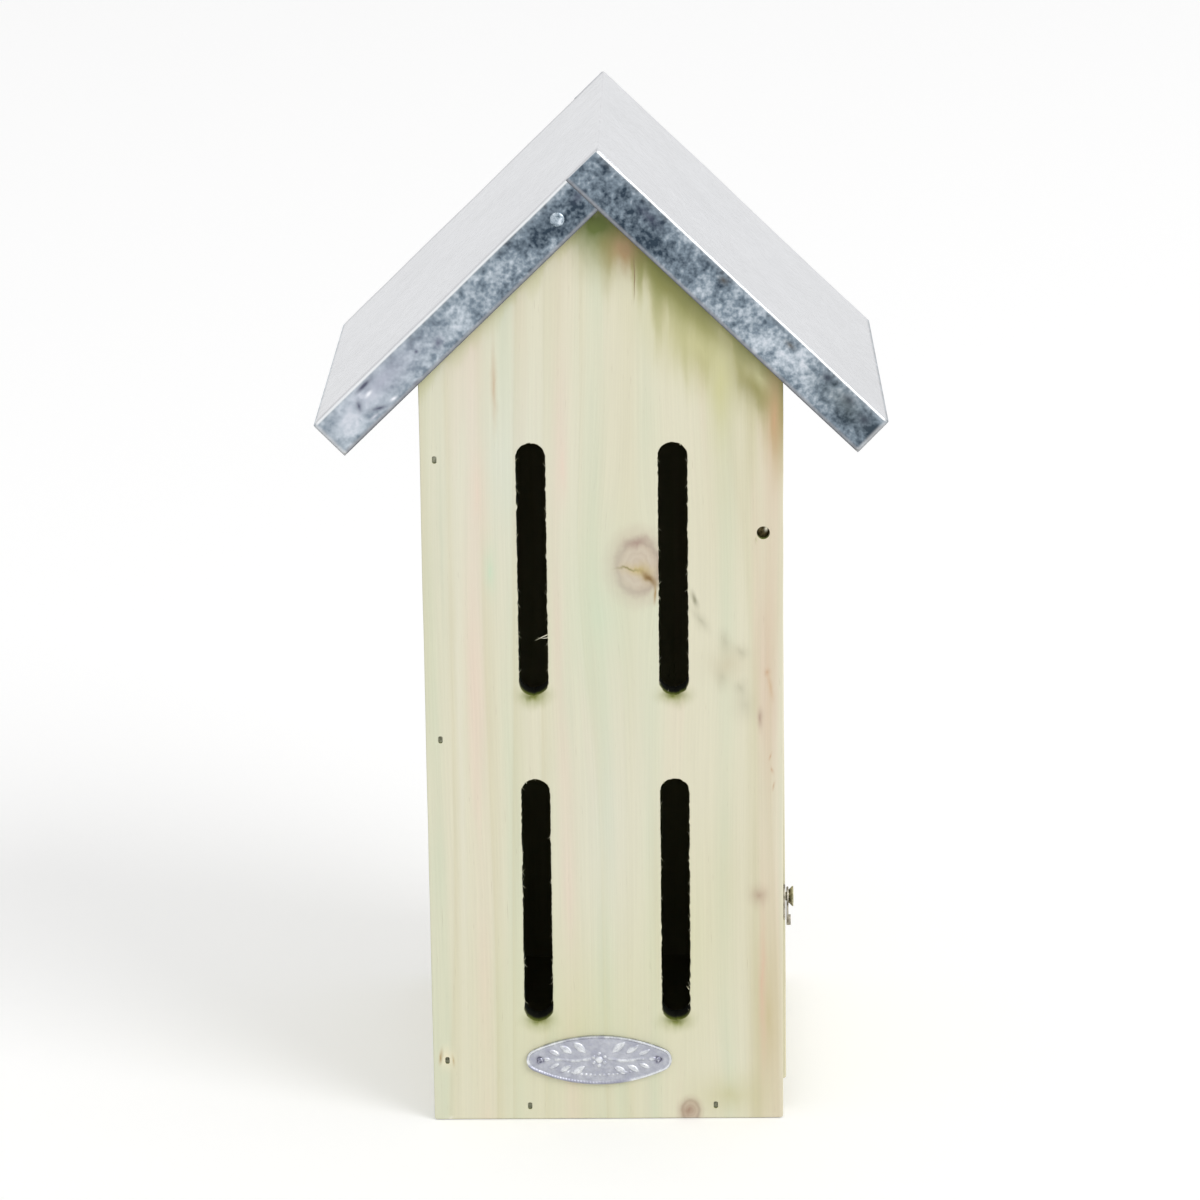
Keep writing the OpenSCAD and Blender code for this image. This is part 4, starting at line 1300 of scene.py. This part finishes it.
class HOUSE_OT_door_pins(Piece, bpy.types.Operator):
    """Builds the two steel pins that the door turns on, the front one with a highlight painted at its upper right
    """

    bl_idname = "butterfly_house.door_pins"
    bl_label = "Door Pins"

    def execute(self, context):
        hardware = context.scene.butterfly_house.hardware
        # A highlight painted on the front pin's head, at its upper right
        pin_highlight = (DOOR_PIN[0] / MM + 1.1, DOOR_PIN[2] / MM + 1.3, 1.0, 2.0, 20, "#f3efd8", 1.0)
        # The dark tones are browned steel and also painted shade of the hole round each head
        finish = worn_metal("Bare steel pin", "#120e06", hardware.steel, "#6e6346", 0.38, 0.5, marks=[pin_highlight])
        for node in ("door_pin_front", "door_pin_back"):
            nails(node, "steel", "steel_pin", finish, hardware.pin_head, hardware.pin_shank, 0.25)
        return {"FINISHED"}


class HOUSE_OT_brads(Piece, bpy.types.Operator):
    """Gives the sunk wire brads, which are the CAD's own, their dull steel"""

    bl_idname = "butterfly_house.brads"
    bl_label = "Brads"

    def execute(self, context):
        finish = worn_metal("Dull steel brad", "#5d5f4c", "#8f907a", "#b9baa6", 0.6, 0.3, metallic=0.0)
        for node in ("side_brads_front", "side_brads_back", "floor_brads_front", "floor_brads_back"):
            materials = frame["nodes"][node].data.materials
            materials.clear()
            materials.append(finish)
        return {"FINISHED"}


# Radius of the plate's front edge, and how far its back stands off the board
PLATE_EDGE, PLATE_BACK = 0.18 * MM, 0.05 * MM
# Points round the plate, and what share of an even step they are turned by at the ends of its oval
PLATE_SIDES, END_STEP = 480, 0.42
# Rings of points on the plate's field and on its rim, and the share of its outline where the rim starts
FIELD_RINGS, RIM_RINGS, RIM_START = 96, 26, 0.86
# Seed and number of the waves that make up the plate's stipple
STIPPLE_SEED, STIPPLE_WAVES = 5, 14
# Leaves on the plate, from the middle outwards on one side: place, turn in degrees, length and width in mm
LEAVES = [
    (4.1, 2.4, 42, 5.4, 2.5),
    (4.5, -2.0, -36, 5.0, 2.3),
    (8.4, 2.2, 34, 4.9, 2.2),
    (8.8, -1.7, -32, 4.4, 2.0),
    (12.3, 1.6, 26, 4.1, 1.8),
    (12.5, -1.2, -26, 3.7, 1.6),
    (15.2, 0.2, 2, 3.2, 1.5),
]


def leaf_height(x, z):
    """A leafy sprig in relief, the same to both sides of a small round flower. A leaf is a pointed oval with
    a notch along its rib, and the stem is a thin wavy ridge. Beads make the flower and a row under it."""
    mirrored = np.abs(x)
    height = np.zeros_like(x)
    for at_x, at_z, turn, long, wide in LEAVES:
        lean = math.radians(turn)
        along = (mirrored - at_x) * math.cos(lean) + (z - at_z) * math.sin(lean)
        beside = np.abs(-(mirrored - at_x) * math.sin(lean) + (z - at_z) * math.cos(lean))
        edge = wide / 2 * np.clip(1 - np.abs(2 * along / long - 1) ** 2.2, 0, 1)
        body = smooth(0, 0.35, edge - beside) * (0.75 + 0.25 * np.cos(beside * 3))
        rib = 1 - 0.45 * np.exp(-((beside / 0.14) ** 2))
        height = np.maximum(height, body * rib)
    stem = np.exp(-(((z - 0.3 * np.sin(mirrored * 0.6)) / 0.35) ** 2)) * (mirrored < 14) * (mirrored > 2.6)
    height = np.maximum(height, 0.6 * stem)
    beads = [(0, 0, 1.15)]
    beads += [(1.95 * math.cos(a), 1.95 * math.sin(a), 0.62) for a in (0.52, -0.52, 1.57, -1.57)]
    beads += [(1.4 * i, -5.1 + 0.022 * i * i, 0.42) for i in range(8)]
    for at_x, at_z, round_r in beads:
        ball = 1 - ((mirrored - at_x) ** 2 + (z - at_z) ** 2) / round_r**2
        height = np.maximum(height, round_r / 0.8 * np.sqrt(np.clip(ball, 0, 1)))
    return height


def oval_edge(node, count):
    """Points round a CAD plate's outline: each is a turn about its middle, whose distance from there is found
    between the CAD's own outline points."""
    points = node_points(node)
    low, high = node_box(node)
    middle = (low + high) / 2
    flat = points[points[:, 1] > high[1] - ON_PLANE][:, [0, 2]] - middle[[0, 2]]
    hull = flat[convex_hull_2d(flat.tolist())]
    angle = np.arctan2(hull[:, 1], hull[:, 0])
    order = np.argsort(angle)
    far = np.linalg.norm(hull, axis=1)[order]
    # The finest steps of the turn lie near the ends of the oval, where its edge turns quickly
    wanted = np.linspace(-math.pi, math.pi, count, endpoint=False)
    wanted = np.arctan2(np.sin(wanted) * END_STEP, np.cos(wanted))
    reach = np.interp(wanted, angle[order], far, period=2 * math.pi)
    return reach[:, None] * np.stack([np.cos(wanted), np.sin(wanted)], 1), middle


def plate_relief(plate):
    """The oval cast plate: a raised rounded rim, a stippled field and a leafy sprig in relief. Its front is
    a grid of scaled copies of its outline, a quarter round turns it into the edge, and the back closes it.
    Gives its rings of points and how worn each point is, with a painted highlight and painted shade on the
    rim and painted shade in the nails' dishes."""
    edge, middle = oval_edge("name_plate", PLATE_SIDES)
    low, high = node_box("name_plate")
    depth = high[1] - low[1]
    # The quarter round as a share of the plate's least half width
    rounding = PLATE_EDGE / np.linalg.norm(edge, axis=1).min()
    outer = np.linspace(RIM_START, 1 - rounding, RIM_RINGS)[1:]
    scale = np.concatenate([np.linspace(0.004, RIM_START, FIELD_RINGS), outer])
    face = scale[:, None, None] * edge
    mid = (edge + np.roll(edge, 1, 0)) / 2
    away = face.reshape(-1, 1, 2) - mid[::4].reshape(1, -1, 2)
    gap = np.sqrt((away**2).sum(-1).min(1)).reshape(face.shape[:2])
    x, z = face[..., 0] / MM, face[..., 1] / MM
    rng = np.random.default_rng(STIPPLE_SEED)
    waves = rng.normal(0, 1, (STIPPLE_WAVES, 2)) * 2.6
    grainy = sum(np.sin(x * a + z * b + i) for i, (a, b) in enumerate(waves)) / 5
    rim = smooth(plate.rim * 1.15, plate.rim * 0.55, gap)
    leaves = leaf_height(x, z)
    free = 1 - np.maximum(rim, smooth(0.02, 0.2, leaves))
    field = depth - plate.rim_height
    height = field + rim * plate.rim_height + leaves * plate.relief + free * plate.stipple * (grainy - 1)
    # Each nail sits in a shallow dish, with shade painted round its head
    dishes = [((low + high) / 2 - middle)[[0, 2]] / MM for low, high in solid_boxes("plate_nails", 0)]
    for at_x, at_z in dishes:
        height = height - plate.dish * smooth(1.7, 0.6, np.hypot(x - at_x, z - at_z))
    turn = np.linspace(0, QUARTER, 6)[1:]
    curve = np.append(1 - rounding * (1 - np.sin(turn)), 1)
    fall = np.append(depth - PLATE_EDGE * (1 - np.cos(turn)), PLATE_BACK)
    rings = np.concatenate([face, curve[:, None, None] * edge])
    tall = np.concatenate([height, np.broadcast_to(fall[:, None], (len(fall), len(edge)))])
    points = np.stack([middle[0] + rings[..., 0], high[1] - tall, middle[2] + rings[..., 1]], -1)
    # A highlight is painted on the rim at its upper corners and on the right, and shadow is painted under its
    # middle
    rubbed = smooth(7, 14, np.abs(x)) * np.maximum(smooth(-3, 1, z), smooth(4, 9, x))
    shade_mask = (1 - rubbed) * smooth(1, -3, z)
    worn = rim * (0.2 + 0.8 * rubbed - 0.55 * shade_mask) + leaves * (0.8 + 0.2 * np.clip(grainy, -1, 1))
    # Painted shade in each dish: a patchy dark ring round the nail's head
    for at_x, at_z in dishes:
        away_x, away_z = x - at_x, z - at_z
        ring = np.hypot(away_x, away_z)
        spots = 0.45 + 0.3 * np.cos(3 * np.arctan2(away_z, away_x) + at_x)
        stain = np.exp(-(((ring - 1.0) / 0.5) ** 2)) * spots
        worn = np.where(ring < 2.2, worn * smooth(1.2, 2.2, ring) - stain, worn)
    worn = np.concatenate([worn, np.repeat(np.minimum(worn[-1:], 0.3), len(turn) + 1, 0)])
    return points, np.append(worn.ravel(), [0.5, 0.5])


class HOUSE_OT_name_plate(Piece, bpy.types.Operator):
    """Builds the oval cast plate with its rim and leafy relief"""

    bl_idname = "butterfly_house.name_plate"
    bl_label = "Name Plate"

    def execute(self, context):
        plate = context.scene.butterfly_house.plate
        tones = plate.shade, plate.metal, plate.worn
        finish = worn_metal("Cast pewter", *tones, 0.36, 0.5, "relief", plate.stain)
        points, worn = plate_relief(plate)
        tubes = capped_tubes(points[None])
        made = add_piece("name_plate_relief", *tubes, finish=finish, slot="pewter", replaces=["name_plate"])
        point_values(made, "relief", worn)
        return {"FINISHED"}


def merged_copy(node, finish, body, bevel):
    """A CAD node's own shape with its points merged, its flat faces whole and its edges rounded."""
    copy = frame["nodes"][node].data.copy()
    copy.name = node + "_metal"
    cells = bmesh.new()
    cells.from_mesh(copy)
    bmesh.ops.remove_doubles(cells, verts=cells.verts, dist=0.001 * MM)
    bmesh.ops.dissolve_limit(cells, angle_limit=math.radians(1), verts=cells.verts, edges=cells.edges)
    for edge in cells.edges:
        edge.smooth = edge.calc_face_angle(0) < math.radians(30)
    for face in cells.faces:
        face.smooth = True
    cells.to_mesh(copy)
    cells.free()
    made = dress(bpy.data.objects.new(copy.name, copy), finish, body, [node])
    round_off = made.modifiers.new("Rounded edges", "BEVEL")
    round_off.width = bevel
    round_off.segments = 2
    round_off.limit_method = "ANGLE"
    round_off.angle_limit = math.radians(40)
    face_weighted(made)


class HOUSE_OT_catch(Piece, bpy.types.Operator):
    """Builds the turning catch: a plate on the board's edge, a countersunk screw and an arm"""

    bl_idname = "butterfly_house.catch"
    bl_label = "Catch"

    def execute(self, context):
        hardware = context.scene.butterfly_house.hardware
        dull = worn_metal("Dull plated steel", "#857e70", hardware.dull, "#d6d0c2", 0.4, 0.4)
        brass = worn_metal("Yellowed plating", "#86846a", hardware.brass, "#dedbc2", 0.32, 0.4)
        merged_copy("catch_plate", dull, "house", hardware.bevel)
        merged_copy("catch_screw", brass, "house", hardware.bevel)
        merged_copy("catch_arm", dull, "catch", hardware.bevel)
        return {"FINISHED"}


# Where the camera stands, and how far it looks down, to the left and leans, in degrees
CAMERA_PLACE = (0.0208, -1.400, 0.564)
CAMERA_DOWN, CAMERA_LEFT, CAMERA_LEAN = 16.42, 0.93, -0.67
# Where the key lamp points, the way to it from there and its distance
AIM = (0, 0, 0.17)
KEY_WAY = (0.62, -0.48, 0.62)
KEY_FAR = 6.0
# How far the floor reaches, and how far it lies under the boards, so that no two faces lie in one plane
FLOOR_REACH, FLOOR_DROP = 40.0, 0.1 * MM


def camera(look):
    """The camera at the photo's viewing angle."""
    view = bpy.data.cameras.new("View")
    view.lens = look.lens
    view.sensor_width = 36
    made = bpy.data.objects.new("View", view)
    down, left, lean = (math.radians(a) for a in (90 - CAMERA_DOWN, CAMERA_LEFT, CAMERA_LEAN))
    turn = Matrix.Rotation(left, 4, "Z") @ Matrix.Rotation(down, 4, "X") @ Matrix.Rotation(lean, 4, "Z")
    made.matrix_world = Matrix.Translation(CAMERA_PLACE) @ turn
    bpy.context.scene.collection.objects.link(made)
    bpy.context.scene.camera = made


def key_lamp(look):
    """One large soft lamp from the upper right. An area lamp of P watts lights a facing surface at distance d
    with P / (pi d2), and a white surface shows a pi-th of that."""
    lamp = bpy.data.lights.new("Key", "AREA")
    lamp.shape = "DISK"
    lamp.size = look.key_size
    lamp.energy = look.key * math.pi**2 * KEY_FAR**2
    made = bpy.data.objects.new("Key", lamp)
    way = Vector(KEY_WAY).normalized()
    made.location = Vector(AIM) + way * KEY_FAR
    made.rotation_euler = way.to_track_quat("Z", "Y").to_euler()
    bpy.context.scene.collection.objects.link(made)


def seen_rays(add):
    """One for the rays that the camera sends out itself, or through a reflection or glass."""
    rays = add("LightPath").outputs
    seen = add("Math MAXIMUM", rays["Is Camera Ray"], rays["Is Glossy Ray"])
    return add("Math MAXIMUM", seen, rays["Is Transmission Ray"])


def studio(look):
    """An even white studio all round, which lights less than it shows."""
    world = bpy.data.worlds.new("Studio")
    bpy.context.scene.world = world
    world.use_nodes = True
    world.node_tree.nodes.clear()
    add = partial(add_node, world.node_tree)
    lit, white = (add("Background", 1.0, strength) for strength in (look.sky, 1.0))
    add("OutputWorld", add("MixShader", seen_rays(add), lit, white))


def pale_floor(look):
    """The floor shows paler than it is lit, as the photo's white ground does, and keeps its shadow."""
    finish, add = new_finish("Pale floor")
    lift = add("Math MULTIPLY", seen_rays(add), look.lift)
    glow = {"Emission_Color": 1.0, "Emission_Strength": lift}
    add("OutputMaterial", add("BsdfPrincipled", Base_Color=look.floor, Roughness=0.9, **glow))
    ring = FLOOR_REACH * np.array([[-1, -1, 0], [1, -1, 0], [1, 1, 0], [-1, 1, 0]]) - [0, 0, FLOOR_DROP]
    mesh = bpy.data.meshes.new("Floor")
    mesh.from_pydata(ring.tolist(), [], [(0, 1, 2, 3)])
    mesh.materials.append(finish)
    floor = bpy.data.objects.new("Floor", mesh)
    bpy.context.scene.collection.objects.link(floor)


class HOUSE_OT_stage(Piece, bpy.types.Operator):
    """Sets up the camera, the lamp, the studio and the floor"""

    bl_idname = "butterfly_house.stage"
    bl_label = "Stage"

    def execute(self, context):
        look = context.scene.butterfly_house.stage
        context.scene.view_settings.view_transform = "Standard"
        for part in (camera, key_lamp, studio, pale_floor):
            part(look)
        return {"FINISHED"}


# In the order in which the pieces are built
OPERATORS = (
    HOUSE_OT_front_board,
    HOUSE_OT_back_board,
    HOUSE_OT_left_board,
    HOUSE_OT_door_board,
    HOUSE_OT_floor_board,
    HOUSE_OT_slot_fibres,
    HOUSE_OT_roof_sheet,
    HOUSE_OT_roof_nails,
    HOUSE_OT_name_plate,
    HOUSE_OT_plate_nails,
    HOUSE_OT_brads,
    HOUSE_OT_door_pins,
    HOUSE_OT_catch,
    HOUSE_OT_stage,
)


class HOUSE_PT_pieces(bpy.types.Panel):
    """Lists the settings and the pieces in the order in which they are built"""

    bl_idname = "HOUSE_PT_pieces"
    bl_label = "Butterfly House"
    bl_space_type = "VIEW_3D"
    bl_region_type = "UI"
    bl_category = "Butterfly House"

    def draw(self, context):
        settings = context.scene.butterfly_house
        for group in HouseSettings.__annotations__:
            box = self.layout.box()
            box.label(text=group.title())
            part = getattr(settings, group)
            for key in part.__annotations__:
                box.prop(part, key)
        column = self.layout.column(align=True)
        for operator in OPERATORS:
            column.operator(operator.bl_idname)


GROUPS = (WoodSettings, SheetSettings, PlateSettings, HardwareSettings, StageSettings, HouseSettings)
CLASSES = (*GROUPS, *OPERATORS, HOUSE_PT_pieces)


def register():
    """Registers the classes, and gives the scene its settings."""
    for kind in CLASSES:
        bpy.utils.register_class(kind)
    bpy.types.Scene.butterfly_house = PointerProperty(type=HouseSettings)


def unregister():
    """Takes the settings and the classes away again."""
    del bpy.types.Scene.butterfly_house
    for kind in reversed(CLASSES):
        bpy.utils.unregister_class(kind)


def main():
    """Builds every piece in order."""
    register()
    for operator in OPERATORS:
        group, name = operator.bl_idname.split(".")
        getattr(getattr(bpy.ops, group), name)()
    bpy.context.view_layer.update()


if __name__ == "__main__":
    main()
